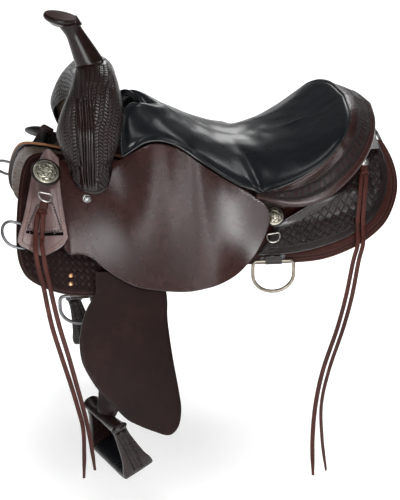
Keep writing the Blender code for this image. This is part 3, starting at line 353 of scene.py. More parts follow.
def jockey_low(x):
    """The height of the jockey's lower edge, with room for the fender under it."""
    low = mix(0.0245, 0.0385, smooth((x + 0.305) / 0.045)) - 0.008 * smooth(x / 0.08)
    return low + TREE_RISE


def under_jockey(x, s):
    seam_s, seam_h = through(SEAM_S, x), through(SEAM_H, x) + TREE_RISE
    low = jockey_low(x)
    part = max(0.0, (JOCKEY_LOW_S - s) / (JOCKEY_LOW_S - seam_s))
    return low + (seam_h - low) * part**2


def over_jockey(x, s):
    return under_jockey(x, s) + LEATHER


SKIRT_TOP = 0.012
RIGGING_FRONT = (-0.250, 0.2775)
RIGGING_REAR = (0.112, 0.2130)
SKIRT_EDGE = [(-0.292, SKIRT_TOP), (-0.323, 0.030), (-0.340, 0.063), (-0.351, 0.118), (-0.358, 0.176),
              (-0.360, 0.220), (-0.355, 0.249), (-0.340, 0.268), (-0.302, 0.279), (-0.262, 0.280),
              (-0.215, 0.272), (-0.150, 0.250), (-0.060, 0.222), (0.020, 0.211), (0.072, 0.212),
              (0.136, 0.219), (0.198, 0.226), (0.245, 0.222), (0.287, 0.210), (0.325, 0.186),
              (0.349, 0.149), (0.359, 0.113), (0.359, 0.072), (0.352, 0.032), (0.346, SKIRT_TOP)]


def skirt_outline():
    return rounded([SKIRT_EDGE, [(0.346, SKIRT_TOP), (0.15, SKIRT_TOP), (-0.1, SKIRT_TOP), (-0.292, SKIRT_TOP)]])


def inward(points):
    """Unit normals of a closed flat outline, pointing into it."""
    n = len(points)
    area = sum(points[i].x * points[(i + 1) % n].y - points[(i + 1) % n].x * points[i].y for i in range(n))
    turn = 1 if area > 0 else -1
    ways = [(points[(i + 1) % n] - points[i - 1]).normalized() for i in range(n)]
    return [Vector((-way.y, way.x)) * turn for way in ways]


def inset(outline, amount):
    """The outline moved inwards by the amount."""
    points = [Vector(p) for p in outline]
    return [tuple(p + way * amount) for p, way in zip(points, inward(points))]


def fleece_outline():
    """The skirt's shape a little smaller, with a pocket at its lower edge for the front rigging."""
    result = []
    for x, s in inset(skirt_outline(), 0.006):
        pocket = s > 0.2 and abs(x - RIGGING_FRONT[0]) < 0.045
        result.append((x, min(s, 0.236) if pocket else s))
    return result


SWELL_FOOT = [(-0.176, 0.052), (-0.181, 0.075), (-0.194, 0.092), (-0.217, 0.098), (-0.240, 0.092),
              (-0.253, 0.075), (-0.258, 0.052)]


def jockey_outline():
    seam = [(x, through(SEAM_S, x) + 0.0015) for x in (0.055, 0.02, -0.02, -0.06, -0.1, -0.14, -0.176)]
    return rounded([
        [(-0.286, 0.046), (-0.285, 0.12), (-0.280, 0.190)],
        [(-0.280, 0.190), (-0.268, 0.212), (-0.246, 0.209), (-0.225, 0.212), (-0.204, 0.226),
         (-0.174, 0.241), (-0.142, 0.251), (-0.103, 0.254), (-0.057, 0.255), (-0.023, 0.251),
         (0.009, 0.244), (0.041, 0.230), (0.068, 0.209), (0.083, 0.193), (0.099, 0.168),
         (0.106, 0.145), (0.098, 0.130), (0.078, 0.117), (0.055, through(SEAM_S, 0.055) + 0.0015)],
        seam,
        [(-0.176, through(SEAM_S, -0.176) + 0.0015)] + SWELL_FOOT[1:],
        [SWELL_FOOT[-1], (-0.286, 0.046)],
    ])


def fender_frame():
    place, out, _, _ = frame_at(*FENDER_TOUCH, SKIRT_OUT)
    level = out.cross(Vector((0, 0, 1))).normalized()
    if level.x < 0:
        level = -level
    drop = out.cross(level)
    if drop.z > 0:
        drop = -drop
    return place + out * FENDER_GAP, out, level, drop


def fender_point(u, d, h=0.0):
    """The point across and down the fender, and h out from its inner face."""
    place, out, level, drop = fender_frame()
    bend = max(0.0, d - FENDER_BEND_START) ** 2 / (2 * FENDER_BEND_RADIUS)
    return place + level * u + drop * d + out * (h - bend)


def fender_outline():
    pu, pd = FENDER_PIVOT
    arc = []
    for degrees in (-13, -3, 8, 18, 28, 38):
        angle = math.radians(degrees)
        arc.append((pu + FENDER_TOP_RADIUS * math.sin(angle), pd + FENDER_TOP_RADIUS * math.cos(angle)))
    return rounded([
        arc,
        [arc[-1], (0.088, 0.010), (0.084, 0.066), (0.085, 0.130), (0.090, 0.198), (0.091, 0.232),
         (0.083, 0.262), (0.064, 0.276), (0.036, 0.265), (0.007, 0.249), (-0.014, 0.234),
         (-0.037, 0.205), (-0.058, 0.178), (-0.073, 0.151), (-0.085, 0.116), (-0.083, 0.076),
         (-0.066, 0.030), (-0.045, -0.001), arc[0]],
    ])


def bolt_frame():
    """The bolt's middle, its axis towards the near side, down through the stirrup, and its depth."""
    middle = fender_point(*BOLT_PLACE, -BOLT_INSET)
    yaw, lean = math.radians(BOLT_YAW), math.radians(STIRRUP_LEAN)
    axis = Vector((math.sin(yaw), -math.cos(yaw), 0))
    level = Vector((math.cos(yaw), math.sin(yaw), 0))
    down = Vector((0, 0, -1)) * math.cos(lean) + level * math.sin(lean)
    depth = level * math.cos(lean) + Vector((0, 0, 1)) * math.sin(lean)
    return middle, axis, down, depth


SPINE = [(-0.107, 0.127), (-0.075, 0.1265), (-0.042, 0.1055), (-0.010, 0.0865), (0.023, 0.0715),
         (0.060, 0.0615), (0.100, 0.0615), (0.150, 0.069), (0.195, 0.085)]
NOTCH = [(-0.107, 0.0, 0.127), (-0.116, 0.022, 0.137), (-0.136, 0.040, 0.146), (-0.150, 0.056, 0.134),
         (-0.157, 0.073, 0.104)]
RIM_IN = [(0.096, 0.168, 0.007), (0.150, 0.179, 0.033), (0.203, 0.178, 0.068), (0.243, 0.155, 0.106),
          (0.266, 0.095, 0.125), (0.276, 0.0, 0.130)]
RIM_OUT = [(0.078, 0.166, 0.007), (0.104, 0.189, -0.001), (0.150, 0.203, -0.009), (0.205, 0.206, 0.005),
           (0.262, 0.188, 0.046), (0.300, 0.147, 0.082), (0.322, 0.078, 0.104), (0.331, 0.0, 0.110)]
SEAT_FRONT = -0.157
SEAT_ROWS_SIDE = 13
SEAT_ROWS_RIM = 13
SEAT_COLUMNS = 6


def risen(points):
    """The points of the drawing, moved up with the tree."""
    return [(*p[:-1], p[-1] + TREE_RISE) for p in points]


def seat_edge_point(x):
    seam = through(SEAM_S, x)
    return off(back(x, seam, under_jockey(x, seam) + LEATHER + SEAT_EDGE))


def seat_rows():
    """Near-half grid of the seat's top: rows from the front round to the rear middle."""
    side_x = [mix(SEAT_FRONT, 0.075, k / (SEAT_ROWS_SIDE - 1)) for k in range(SEAT_ROWS_SIDE)]
    edge = [seat_edge_point(x) for x in side_x]
    edge += spline(risen(RIM_IN), SEAT_ROWS_RIM)
    count = len(edge)
    first, last = SPINE[0][0], SPINE[-1][0]
    notch = spline(risen(NOTCH) + [tuple(edge[0])], SEAT_COLUMNS + 1)
    rows = []
    for i, e in enumerate(edge):
        u = i / (count - 1)
        x = mix(first, last, u**1.05)
        s = Vector((x, 0.0, through(SPINE, x) + TREE_RISE))
        power = mix(2.0, 1.35, smooth((u - 0.55) / 0.45))
        row = []
        for k in range(SEAT_COLUMNS + 1):
            v = k / SEAT_COLUMNS
            p = s.lerp(e, v)
            p.z = mix(s.z, e.z, v**power)
            row.append(p)
        rows.append(row)
    start = [p.copy() for p in rows[0]]
    for i in range(5):
        fade = 1 - smooth(i / 4)
        for k in range(SEAT_COLUMNS + 1):
            rows[i][k] += (notch[k] - start[k]) * fade
    return rows


def grid_normals(rows):
    """Upward unit normals of the seat's near-half grid, whose first column lies on the middle."""
    out = []
    for i, row in enumerate(rows):
        line = []
        for k in range(len(row)):
            a = rows[min(i + 1, len(rows) - 1)][k] - rows[max(i - 1, 0)][k]
            b = row[min(k + 1, len(row) - 1)] - row[max(k - 1, 0)]
            if k == 0:
                b = Vector((0, 1, 0)) if i < len(rows) - 1 else b
                a.y = 0
            n = a.cross(b) if a.length >= 1e-6 else Vector((0, 0, 1))
            n.normalize()
            line.append(n if n.z > 0 else -n)
        out.append(line)
    for n in [line[0] for line in out] + out[-1]:
        n.y = 0
        n.normalize()
    return out


def two_sided(rows):
    """The rows on the near side, then the same rows on the off side in reverse order."""
    return [[off(p) for p in row] for row in rows] + [[p.copy() for p in row] for row in reversed(rows[:-1])]


def rim_frames():
    """Round the cantle from its near front end: inner edge, direction outwards, up, and width."""
    inner, outer = spline(risen(RIM_IN), SEAT_ROWS_RIM), spline(risen(RIM_OUT), SEAT_ROWS_RIM)
    frames = []
    for i in range(SEAT_ROWS_RIM):
        a, b = inner[i], outer[i]
        across = b - a
        width = across.length
        across.normalize()
        near, far = max(i - 1, 0), min(i + 1, SEAT_ROWS_RIM - 1)
        ahead = (outer[far] + inner[far] - outer[near] - inner[near]).normalized()
        up = ahead.cross(across).normalized()
        if up.z < 0:
            up = -up
        if i == SEAT_ROWS_RIM - 1:
            up.y = across.y = 0
            up.normalize()
            across.normalize()
        frames.append((a, across, up, width))
    return frames


def roll_rings():
    """Sections of the cantle border with its rolled edge, from the near front end round to the off one."""
    rings = []
    for a, across, up, width in rim_frames():
        t = min(ROLL_THICK, width * 0.5)
        r = min(t * 0.62, width * 0.35)
        crown = 0.003 * min(1.0, width / 0.04)
        level = Vector((across.x, across.y, 0)).normalized()
        ring_points = [(width * 0.3, crown), (width * 0.62, crown), (width - r, 0.0015),
                       (width - r * 0.25, -r * 0.35), (width, -r), (width - r * 0.3, -r * 1.7), (width - r, -r * 2),
                       (width * 0.6, -t), (width * 0.3, -t)]
        inner = [a + level * 0.0055 - Vector((0, 0, 0.0055)), a + level * SEAT_GAP * 4]
        rings.append([a + across * p + up * q for p, q in ring_points] + inner)
    return rings


ARCH = [(0.0, 0.1695), (0.028, 0.166), (0.053, 0.153), (0.074, 0.128), (0.088, 0.100), (0.095, 0.070),
        (0.097, 0.046)]
ARCH_MIDDLE_X = [(0.0, -0.199), (0.2, -0.201), (0.4, -0.207), (0.62, -0.2155), (0.85, -0.2175), (1.0, -0.2165)]
ARCH_HALF = [(0.0, 0.038), (0.2, 0.043), (0.4, 0.0495), (0.62, 0.0525), (0.85, 0.043), (1.0, 0.031)]
ARCH_DEPTH = [(0.0, 0.050), (0.35, 0.046), (0.6, 0.036), (0.85, 0.025), (1.0, 0.019)]
FOOT_CENTRE = (-0.217, 0.077)
FOOT_SIZE = (0.018, 0.008)
COVER_FROM, COVER_TO = -32.0, 212.0


def fork_rings(angles, grow=0.0, flutes=0.0):
    """Sections of the fork from the middle of its top down to near its near foot."""
    stations = 9
    line = spline(risen(ARCH), stations)
    rings = []
    for i in range(stations):
        t = i / (stations - 1)
        y, z = line[i]
        a, b = line[max(i - 1, 0)], line[min(i + 1, stations - 1)]
        tangent = Vector((0, b[0] - a[0], b[1] - a[1])).normalized()
        if i == 0:
            tangent = Vector((0, 1, 0))
        out = Vector((0, -tangent.z, tangent.y))
        x0, half, depth = through(ARCH_MIDDLE_X, t), through(ARCH_HALF, t), through(ARCH_DEPTH, t)
        points = []
        for angle in angles:
            c, sn = math.cos(angle), math.sin(angle)
            x = x0 + math.copysign(abs(c) ** 0.75, c) * (half + grow)
            reach = math.copysign(abs(sn) ** 0.9, sn) * (depth + grow) * (1.0 if sn > 0 else 0.8)
            if flutes and sn > 0:
                window = smooth((t - 0.5) / 0.15)
                reach += flutes * window * sum(math.exp(-((x + 0.224 - k * 0.010) / 0.003) ** 2) for k in (-1, 0, 1))
            points.append(Vector((x, y, z)) + out * reach)
        rings.append(points)
    return rings


# Stations of the horn's neck: its middle (x, z), its radius and how far it leans back, in degrees
NECK = [(-0.2095, 0.2248, 0.0250, 15), (-0.2135, 0.2330, 0.0235, 20), (-0.2225, 0.2530, 0.0200, 26),
        (-0.2325, 0.2750, 0.0165, 30), (-0.2440, 0.2985, 0.0150, 30)]
CAP_CENTRE = Vector((-0.2565, 0.0, 0.3045 + TREE_RISE))
CONCHO_PLACE = (-0.299, 0.082)
CONCHO_STRAP = [
    [(-0.272, 0.050), (-0.2735, 0.090), (-0.272, 0.126), (-0.268, 0.166), (-0.266, 0.186)],
    [(-0.266, 0.186), (-0.276, 0.200), (-0.295, 0.213), (-0.314, 0.222), (-0.333, 0.219), (-0.353, 0.214)],
    [(-0.353, 0.214), (-0.358, 0.204), (-0.344, 0.160), (-0.332, 0.110), (-0.322, 0.070), (-0.311, 0.048),
     (-0.291, 0.036), (-0.272, 0.050)],
]


def under_strap(x, s):
    over_dee = over_bars(x, s) + (RING_WIRE + GAP) * smooth((-x - 0.318) / 0.016) * smooth((s - 0.14) / 0.03)
    return max(over_dee, mix(over_dee, over_jockey(x, s) + GAP * 2.5, smooth((x + 0.318) / 0.028)))


def strap_over(x, s):
    return under_strap(x, s) + STRAP_THICK


# Where the strings lie on the saddle (x, s), then how they hang from it (x, y, z). Each is one thong
# folded in half, so it has a front and a rear strand.
FRONT_TOP = [(-0.3175, 0.150), (-0.3080, 0.150)]
FRONT_ON = [[(-0.3215, 0.168), (-0.3250, 0.195)], [(-0.3105, 0.168), (-0.3135, 0.195)]]
FRONT_HANG = [
    [(-0.3275, -0.212, -0.057), (-0.3240, -0.233, -0.090), (-0.3174, -0.250, -0.117), (-0.3116, -0.266, -0.154),
     (-0.3048, -0.280, -0.189), (-0.2914, -0.297, -0.238), (-0.2777, -0.310, -0.287), (-0.2663, -0.320, -0.333),
     (-0.2590, -0.325, -0.372), (-0.2590, -0.330, -0.422), (-0.2610, -0.335, -0.467)],
    [(-0.3150, -0.214, -0.057), (-0.3113, -0.235, -0.090), (-0.3060, -0.253, -0.117), (-0.2993, -0.268, -0.154),
     (-0.2915, -0.281, -0.190), (-0.2788, -0.296, -0.239), (-0.2676, -0.307, -0.288), (-0.2574, -0.315, -0.333),
     (-0.2495, -0.319, -0.376), (-0.2443, -0.325, -0.415), (-0.2402, -0.330, -0.455)],
]
REAR_TOP = [(0.2865, 0.104), (0.2945, 0.104)]
REAR_ON = [[(0.2815, 0.122), (0.2762, 0.146), (0.2710, 0.182)], [(0.2905, 0.123), (0.2857, 0.148), (0.2805, 0.184)]]
REAR_HANG = [
    [(0.2655, -0.203, -0.089), (0.2555, -0.212, -0.122), (0.2437, -0.216, -0.189), (0.2279, -0.220, -0.254),
     (0.2029, -0.223, -0.337), (0.1901, -0.225, -0.410), (0.1860, -0.226, -0.486), (0.1888, -0.227, -0.563)],
    [(0.2752, -0.204, -0.088), (0.2654, -0.214, -0.121), (0.2547, -0.218, -0.188), (0.2391, -0.221, -0.254),
     (0.2143, -0.224, -0.337), (0.2012, -0.226, -0.410), (0.2045, -0.228, -0.486), (0.2137, -0.229, -0.553)],
]


def under_rear(x, s):
    return over_bars(x, s) + GAP


def over_rear(x, s):
    return under_rear(x, s) + LEATHER


# Materials. A Wire is a socket that can be added, multiplied and so on, each as a Math node.

def operation(kind):
    """A method that puts a wire, and what it is given, through a Math node."""
    return lambda self, *others: self.look.math(kind, self, *others)


class Wire:
    def __init__(self, look, socket):
        self.look, self.socket = look, socket

    __add__ = __radd__ = operation("ADD")
    __mul__ = __rmul__ = operation("MULTIPLY")
    __sub__, __truediv__ = operation("SUBTRACT"), operation("DIVIDE")
    fraction, floor, size = operation("FRACT"), operation("FLOOR"), operation("ABSOLUTE")
    sine, cosine, root = operation("SINE"), operation("COSINE"), operation("SQRT")
    power, least, most = operation("POWER"), operation("MINIMUM"), operation("MAXIMUM")
    angle = operation("ARCTAN2")

    def __rsub__(self, other):
        return self.look.math("SUBTRACT", other, self)

    def rise(self, low, high):
        """0 below low and 1 above high, with a smooth step between them."""
        return self.look.node("MapRange", "Result", {"Value": self, "From Min": low, "From Max": high},
                              interpolation_type="SMOOTHSTEP")

    def near(self, value, width):
        """1 at the value, falling to 0 at width from it."""
        return 1.0 - (self - value).size().rise(0.0, width)


class Look:
    def __init__(self, name, **settings):
        self.material = bpy.data.materials.new(name)
        self.material.use_nodes = True
        self.nodes = self.material.node_tree.nodes
        self.links = self.material.node_tree.links
        self.shader = self.nodes["Principled BSDF"]
        for key, value in settings.items():
            self.shader.inputs[key.replace("_", " ")].default_value = value

    def feed(self, socket, value):
        if isinstance(value, Wire):
            self.links.new(value.socket, socket)
        else:
            socket.default_value = value

    def node(self, kind, output, inputs, **settings):
        """One output of a new node. Inputs are fed by name or number, and settings are the node's own."""
        made = self.nodes.new("ShaderNode" + kind)
        for key, value in settings.items():
            setattr(made, key, value)
        for key, value in inputs.items():
            self.feed(made.inputs[key], value)
        return Wire(self, made.outputs[output])

    def math(self, kind, *values):
        return self.node("Math", 0, dict(enumerate(values)), operation=kind)

    def place(self):
        return self.node("TexCoord", "Object", {})

    def split(self, place):
        """The x, y and z of a place."""
        made = self.nodes.new("ShaderNodeSeparateXYZ")
        self.feed(made.inputs[0], place)
        return [Wire(self, output) for output in made.outputs]

    def map_point(self):
        """Millimetres along and across the piece, from its UV map."""
        u, v, _ = self.split(self.node("UVMap", "UV", {}))
        return u * 1000.0, v * 1000.0

    def value(self, attribute):
        return self.node("Attribute", "Fac", {}, attribute_name=attribute)

    def noise(self, place, scale, detail=3.0, rough=0.55):
        return self.node("TexNoise", "Fac", {"Vector": place, "Scale": scale, "Detail": detail, "Roughness": rough})

    def cracks(self, place, scale):
        return self.node("TexVoronoi", "Distance", {"Vector": place, "Scale": scale}, feature="DISTANCE_TO_EDGE")

    def stretched(self, place, x, y, z):
        return self.node("Mapping", 0, {"Vector": place, "Scale": (x, y, z)})

    def ramp(self, value, stops):
        made = self.nodes.new("ShaderNodeValToRGB")
        self.feed(made.inputs["Fac"], value)
        elements = made.color_ramp.elements
        while len(elements) < len(stops):
            elements.new(0.5)
        for element, (at, colour) in zip(elements, stops):
            element.position = at
            element.color = (*colour, 1.0)
        return Wire(self, made.outputs["Color"])

    def mix(self, part, a, b):
        """Colour a where part is 0, and colour b where it is 1."""
        a, b = [value if isinstance(value, Wire) else (*value, 1.0) for value in (a, b)]
        return self.node("Mix", 2, {0: part, 6: a, 7: b}, data_type="RGBA", clamp_factor=True)

    def bump(self, height):
        """Height in millimetres."""
        normal = self.node("Bump", "Normal", {"Height": height, "Distance": 0.001, "Strength": 1.0})
        self.feed(self.shader.inputs["Normal"], normal)

    def finish(self, colour, rough):
        self.feed(self.shader.inputs["Base Color"], colour)
        self.feed(self.shader.inputs["Roughness"], rough)
        return self


def basket(u, v, size, degrees):
    """Basket stamping: square cells whose three strands run along one way, then the other."""
    c, s = math.cos(math.radians(degrees)), math.sin(math.radians(degrees))
    a, b = (u * c + v * s) / size, (v * c - u * s) / size
    fa, fb = a.fraction(), b.fraction()
    other = ((a.floor() + b.floor()) * 0.5).fraction() * 2.0

    def strands(along, across):
        round_over = (across * math.pi).sine().most(0.0).power(0.55)
        threads = (across * (6 * math.pi)).sine().size() * 0.28 + 0.72
        ends = (along * math.pi).sine().most(0.0).rise(0.0, 0.45)
        return round_over * threads * ends

    one, two = strands(fa, fb), strands(fb, fa)
    return one * (1.0 - other) + two * other


def herringbone(u, v, width, pitch):
    """Columns of slanted dashes that lean one way, then the other."""
    column = u / width
    lean = ((column.floor() * 0.5).fraction() * 4.0 - 1.0)
    inside = column.fraction()
    stroke = (v / pitch + inside * lean * 0.55).fraction()
    ridge = (stroke * math.pi).sine().most(0.0).power(0.7)
    return ridge * (inside * math.pi).sine().most(0.0).rise(0.0, 0.5)


def flowers(u, v, pitch):
    """A row of eight-petalled flowers with scallops above and below them. v is 0 on the row's middle."""
    a = (u / pitch).fraction() - 0.5
    b = v / pitch
    reach = (a * a + b * b).root()
    petals = ((b.angle(a) * 8.0).cosine() * 0.05 + 0.30 - reach).rise(-0.03, 0.05)
    centre = 1.0 - reach.rise(0.05, 0.09)
    ring = reach.near(0.13, 0.035)
    scallop_a = (u / pitch * 2.0).fraction() - 0.5
    scallop_b = (b.size() - 0.52) * 2.0
    scallop = (scallop_a * scallop_a + scallop_b * scallop_b).root()
    arches = scallop.near(0.38, 0.12) + scallop.near(0.16, 0.10) * 0.8
    return (petals - ring * 0.7 + centre * 0.5 + arches * 0.8).least(1.0).most(0.0)


def leather(name, colours, rough=0.36, grain=1.0, stamp=None, border=0.0, depth=0.9, lines=(), edge_tone=None,
            creases=0.0, mask=None, specular=0.3, shade=None, **settings):
    """Dyed leather. Colours are its dark, middle and light tones. Stamp is a function of millimetres along and
    across, and starts at the border, in millimetres from the edge: its raised tops get a painted highlight, and its
    recesses are darker, partly as antique dye and partly as painted shade. Lines are grooves (distance from the edge,
    width), darkened partly by their own tooled tone and partly as painted shade. Mask says where the stamp shows, and
    shade where the dye is darker: both are made from the look."""
    look = Look(name, **settings)
    place = look.place()
    dark, middle, light = colours
    cloud, mottle = look.noise(place, 9.0, 3.0), look.noise(place, 75.0, 5.0, 0.65)
    tone = look.ramp(cloud * 0.55 + mottle * 0.45, [(0.32, dark), (0.5, middle), (0.7, light)])
    pores = look.cracks(place, 1300.0).rise(0.0, 0.22)
    fine = look.noise(place, 520.0, 3.0)
    height = pores * (0.030 * grain) + fine * (0.05 * grain) + mottle * (0.10 * grain)
    shine = mottle * 0.10 + fine * 0.05 + (rough - 0.075)
    look.shader.inputs["Specular IOR Level"].default_value = specular
    edge = look.value("edge")
    if stamp:
        u, v = look.map_point()
        inside = edge.rise(border, border + 0.8)
        if mask:
            inside = inside * mask(look)
        pattern = stamp(u, v)
        height = height + (pattern - 1.0) * inside * depth
        # Recesses of the stamp are darker: partly antique dye, partly painted shade
        tone = look.mix((1.0 - pattern.rise(0.05, 0.6)) * inside * 0.92, tone, tuple(c * 0.15 for c in dark))
        # Raised tops of the stamp are lighter: a painted highlight
        tone = look.mix(pattern.rise(0.7, 1.0) * inside * 0.6, tone, tuple(c * 1.5 for c in light))
        shine = shine + (1.0 - pattern.rise(0.1, 0.7)) * inside * 0.35 - pattern.rise(0.7, 1.0) * inside * 0.06
        height = height - edge.near(border - 0.8, 0.8) * 0.5
    if shade:
        tone = look.mix(shade(look), tone, tuple(c * 0.25 for c in dark))
    for at, width in lines:
        groove = edge.near(at, width)
        height = height - groove * 0.55
        # Grooves are darker: partly the tooled line's own tone, partly painted shade
        tone = look.mix(groove * 0.7, tone, tuple(c * 0.3 for c in dark))
    if creases:
        wide = look.noise(look.stretched(place, 5.0, 5.0, 14.0), 2.2, 3.0, 0.45)
        height = height + wide * creases
    if edge_tone:
        worn = (1.0 - edge.rise(0.3, 1.7)) * (mottle.rise(0.35, 0.65) * 0.5 + 0.5)
        tone = look.mix(worn, tone, edge_tone)
    look.bump(height)
    return look.finish(tone, shine)


# Building meshes

NAMES = ((-1, "left"), (1, "right"))
MERGE = 1e-6            # points nearer than this become one
NO_EDGE = 0.02          # an edge distance past every line that a look draws


def finer(rows, per_row, per_column, closed_rows=False):
    """The grid with smooth steps added between its rows and between its columns."""
    rows = [catmull(row, per_row, closed_rows) for row in rows] if per_row > 1 else rows
    columns = [catmull([row[k] for row in rows], per_column) for k in range(len(rows[0]))]
    return [[column[i] for column in columns] for i in range(len(columns[0]))]


def put(name, shape, look, body, replaces=(), slot=None, uv=None, edge=None, edge_look=None, edge_faces=(),
        side=-1, sharp=None, subdivide=0):
    """A finished piece. Shapes are made for the near side, and side 1 mirrors them."""
    verts, faces = shape
    points = np.array([tuple(v) for v in verts], float)
    if side > 0:
        points[:, 1] = -points[:, 1]
        faces = [tuple(reversed(f)) for f in faces]
    mesh = bpy.data.meshes.new(name)
    mesh.from_pydata(points.tolist(), [], faces)
    if uv is not None:
        flat = np.array([tuple(p) for p in uv], float)
        layer = mesh.uv_layers.new(name="UVMap")
        index = np.empty(len(mesh.loops), np.int32)
        mesh.loops.foreach_get("vertex_index", index)
        layer.data.foreach_set("uv", flat[index].ravel())
    if edge is not None:
        made = mesh.attributes.new("edge", "FLOAT", "POINT")
        made.data.foreach_set("value", np.asarray(edge, np.float32) * 1000)
    mesh.materials.append(look.material)
    if edge_look:
        mesh.materials.append(edge_look.material)
        for k in edge_faces:
            mesh.polygons[k].material_index = 1
    clean = bmesh.new()
    clean.from_mesh(mesh)
    bmesh.ops.remove_doubles(clean, verts=clean.verts, dist=MERGE)
    bmesh.ops.recalc_face_normals(clean, faces=clean.faces)
    clean.to_mesh(mesh)
    clean.free()
    mesh.shade_smooth()
    if sharp:
        mesh.set_sharp_from_angle(angle=math.radians(sharp))
    made = placed(name, mesh)
    if subdivide:
        modifier = made.modifiers.new("smooth", "SUBSURF")
        modifier.levels = modifier.render_levels = subdivide
    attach(made, body)
    if replaces:
        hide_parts(*replaces)
    return made


def both(name, shape, look, body="saddle", nodes=(), slot=None, **rest):
    """The same piece on both sides of the saddle. {} in its body's or a node's name stands for the side."""
    return [put(f"{name}_{label}", shape, look, body.format(label), [node.format(label) for node in nodes], slot,
                side=side, **rest) for side, label in NAMES]


def flat_cells(outline, cell):
    """The outline's flat face cut along a grid. Points, faces, and its rim in order."""
    flat = bmesh.new()
    flat.faces.new([flat.verts.new((p[0], p[1], 0)) for p in outline])
    for axis in (0, 1):
        low, high = min(p[axis] for p in outline), max(p[axis] for p in outline)
        normal = (1, 0, 0) if axis == 0 else (0, 1, 0)
        for k in range(math.ceil(low / cell), math.floor(high / cell) + 1):
            place = tuple(c * k * cell for c in normal)
            everything = flat.verts[:] + flat.edges[:] + flat.faces[:]
            bmesh.ops.bisect_plane(flat, geom=everything, plane_co=place, plane_no=normal, dist=MERGE)
    bmesh.ops.remove_doubles(flat, verts=flat.verts, dist=cell * 0.08)
    flat.verts.index_update()
    points = [(v.co.x, v.co.y) for v in flat.verts]
    faces = [tuple(v.index for v in f.verts) for f in flat.faces]
    after = {}
    for e in flat.edges:
        if len(e.link_faces) == 1:
            a, b = e.verts[0].index, e.verts[1].index
            after.setdefault(a, []).append(b)
            after.setdefault(b, []).append(a)
    flat.free()
    start = next(k for k, ends in after.items() if len(ends) == 2)
    rim, seen = [start], {start}
    while True:
        ahead = [k for k in after[rim[-1]] if k not in seen]
        if not ahead:
            break
        rim.append(ahead[0])
        seen.add(ahead[0])
    return points, faces, rim


def distance_to(points, outline):
    """How far each point is from the closed outline."""
    p = np.array(points, float)[:, None]
    a = np.array(outline, float)
    run = np.roll(a, -1, axis=0) - a
    t = np.clip(((p - a) * run).sum(2) / np.maximum((run * run).sum(1), 1e-12), 0, 1)
    return np.sqrt((((a + run * t[..., None]) - p) ** 2).sum(2)).min(1)


EDGE_ARC = (30, 60, 90)     # degrees round an edge


def panel_shape(outline, low, high, place, cell=0.007, radius=0.0013):
    """A sheet between two heights with rounded edges: its shape, map points, edge distances and edge faces."""
    low_at = low if callable(low) else lambda x, s: low
    high_at = high if callable(high) else lambda x, s: high
    core = inset(resampled(outline, OUTLINE_STEP), radius)
    points, faces, rim = flat_cells(core, cell)
    n, m = len(points), len(rim)
    loop = [Vector(points[k]) for k in rim]
    verts = [place(x, s, high_at(x, s)) for x, s in points] + [place(x, s, low_at(x, s)) for x, s in points]
    uv = points * 2
    edge = (distance_to(points, core) + radius).tolist() * 2
    rings = [rim]
    for top in (True, False):
        for degrees in (EDGE_ARC if top else reversed(EDGE_ARC)):
            a = math.radians(degrees)
            drop = radius * (1 - math.cos(a))
            rings.append(list(range(len(verts), len(verts) + m)))
            for p, way in zip(loop, inward(loop)):
                q = p - way * (radius * math.sin(a))
                verts.append(place(q.x, q.y, high_at(p.x, p.y) - drop if top else low_at(p.x, p.y) + drop))
                uv.append((q.x, q.y))
                edge.append(radius * (1 - math.sin(a)))
    rings.append([k + n for k in rim])
    solid = faces + [tuple(k + n for k in reversed(f)) for f in faces]
    first = len(solid)
    for one, two in zip(rings, rings[1:]):
        solid += [(one[i], one[(i + 1) % m], two[(i + 1) % m], two[i]) for i in range(m)]
    middle = len(EDGE_ARC)
    edge_faces = range(first + (middle - 1) * m, first + (middle + 2) * m)
    return (verts, solid), uv, edge, edge_faces


def panel(name, outline, low, high, look, edge_look, body, nodes, slot, place=back, **sizes):
    """The same panel on both sides of the saddle."""
    shape, uv, edge, edge_faces = panel_shape(outline, low, high, place, **sizes)
    both(name, shape, look, body, nodes, slot, uv=uv, edge=edge, edge_look=edge_look, edge_faces=edge_faces)


# A stitch's sections: share of its length, share of its radius, and how deep it is sunk
STITCH_SECTIONS = ((0.0, 0.35, 0.7), (0.2, 0.95, 0.1), (0.5, 1.1, 0.0), (0.8, 0.95, 0.1), (1.0, 0.35, 0.7))
STITCH_SIDES = 6


def stitches(path, length=0.0030, gap=0.0018, radius=0.00062, lift=0.0002):
    """The shape of separate stitches along a path of (point, outward normal)."""
    points, normals = zip(*path)
    pitch = length + gap
    wanted = [k * pitch + part for k in range(int(steps_along(points)[-1] / pitch)) for part in (0, length)]
    ends = [(points[j].lerp(points[j + 1], t), normals[j].lerp(normals[j + 1], t))
            for j, t in places_along(points, wanted)]
    verts, faces = [], []
    for (a, n1), (b, n2) in zip(ends[::2], ends[1::2]):
        out = (n1 + n2).normalized()
        across = out.cross((b - a).normalized()).normalized()
        rings = []
        for t, size, sink in STITCH_SECTIONS:
            middle = a.lerp(b, t) + out * (lift - sink * radius)
            rings.append([middle + (across * c * 1.15 + out * s * 0.85) * radius * size
                          for c, s in circle(1.0, STITCH_SIDES)])
        one, ring_faces = loft(rings)
        faces += [tuple(len(verts) + k for k in face) for face in ring_faces]
        verts += one
    return verts, faces


def over_path(flat, height):
    """(point, normal) pairs along flat points, at a height over the back."""
    over = lambda x, s: back(x, s, height(x, s))
    result = []
    for x, s in flat:
        along = over(x + PROBE, s) - over(x - PROBE, s)
        down = over(x, s + PROBE) - over(x, s - PROBE)
        out = down.cross(along).normalized()
        result.append((over(x, s), -out if out.y > 0 else out))
    return result


def tube(points, radius, sides=12, closed=False, flat=1.0, across=None):
    return sweep(points, circle(radius, sides, flat), closed, across)


# The looks

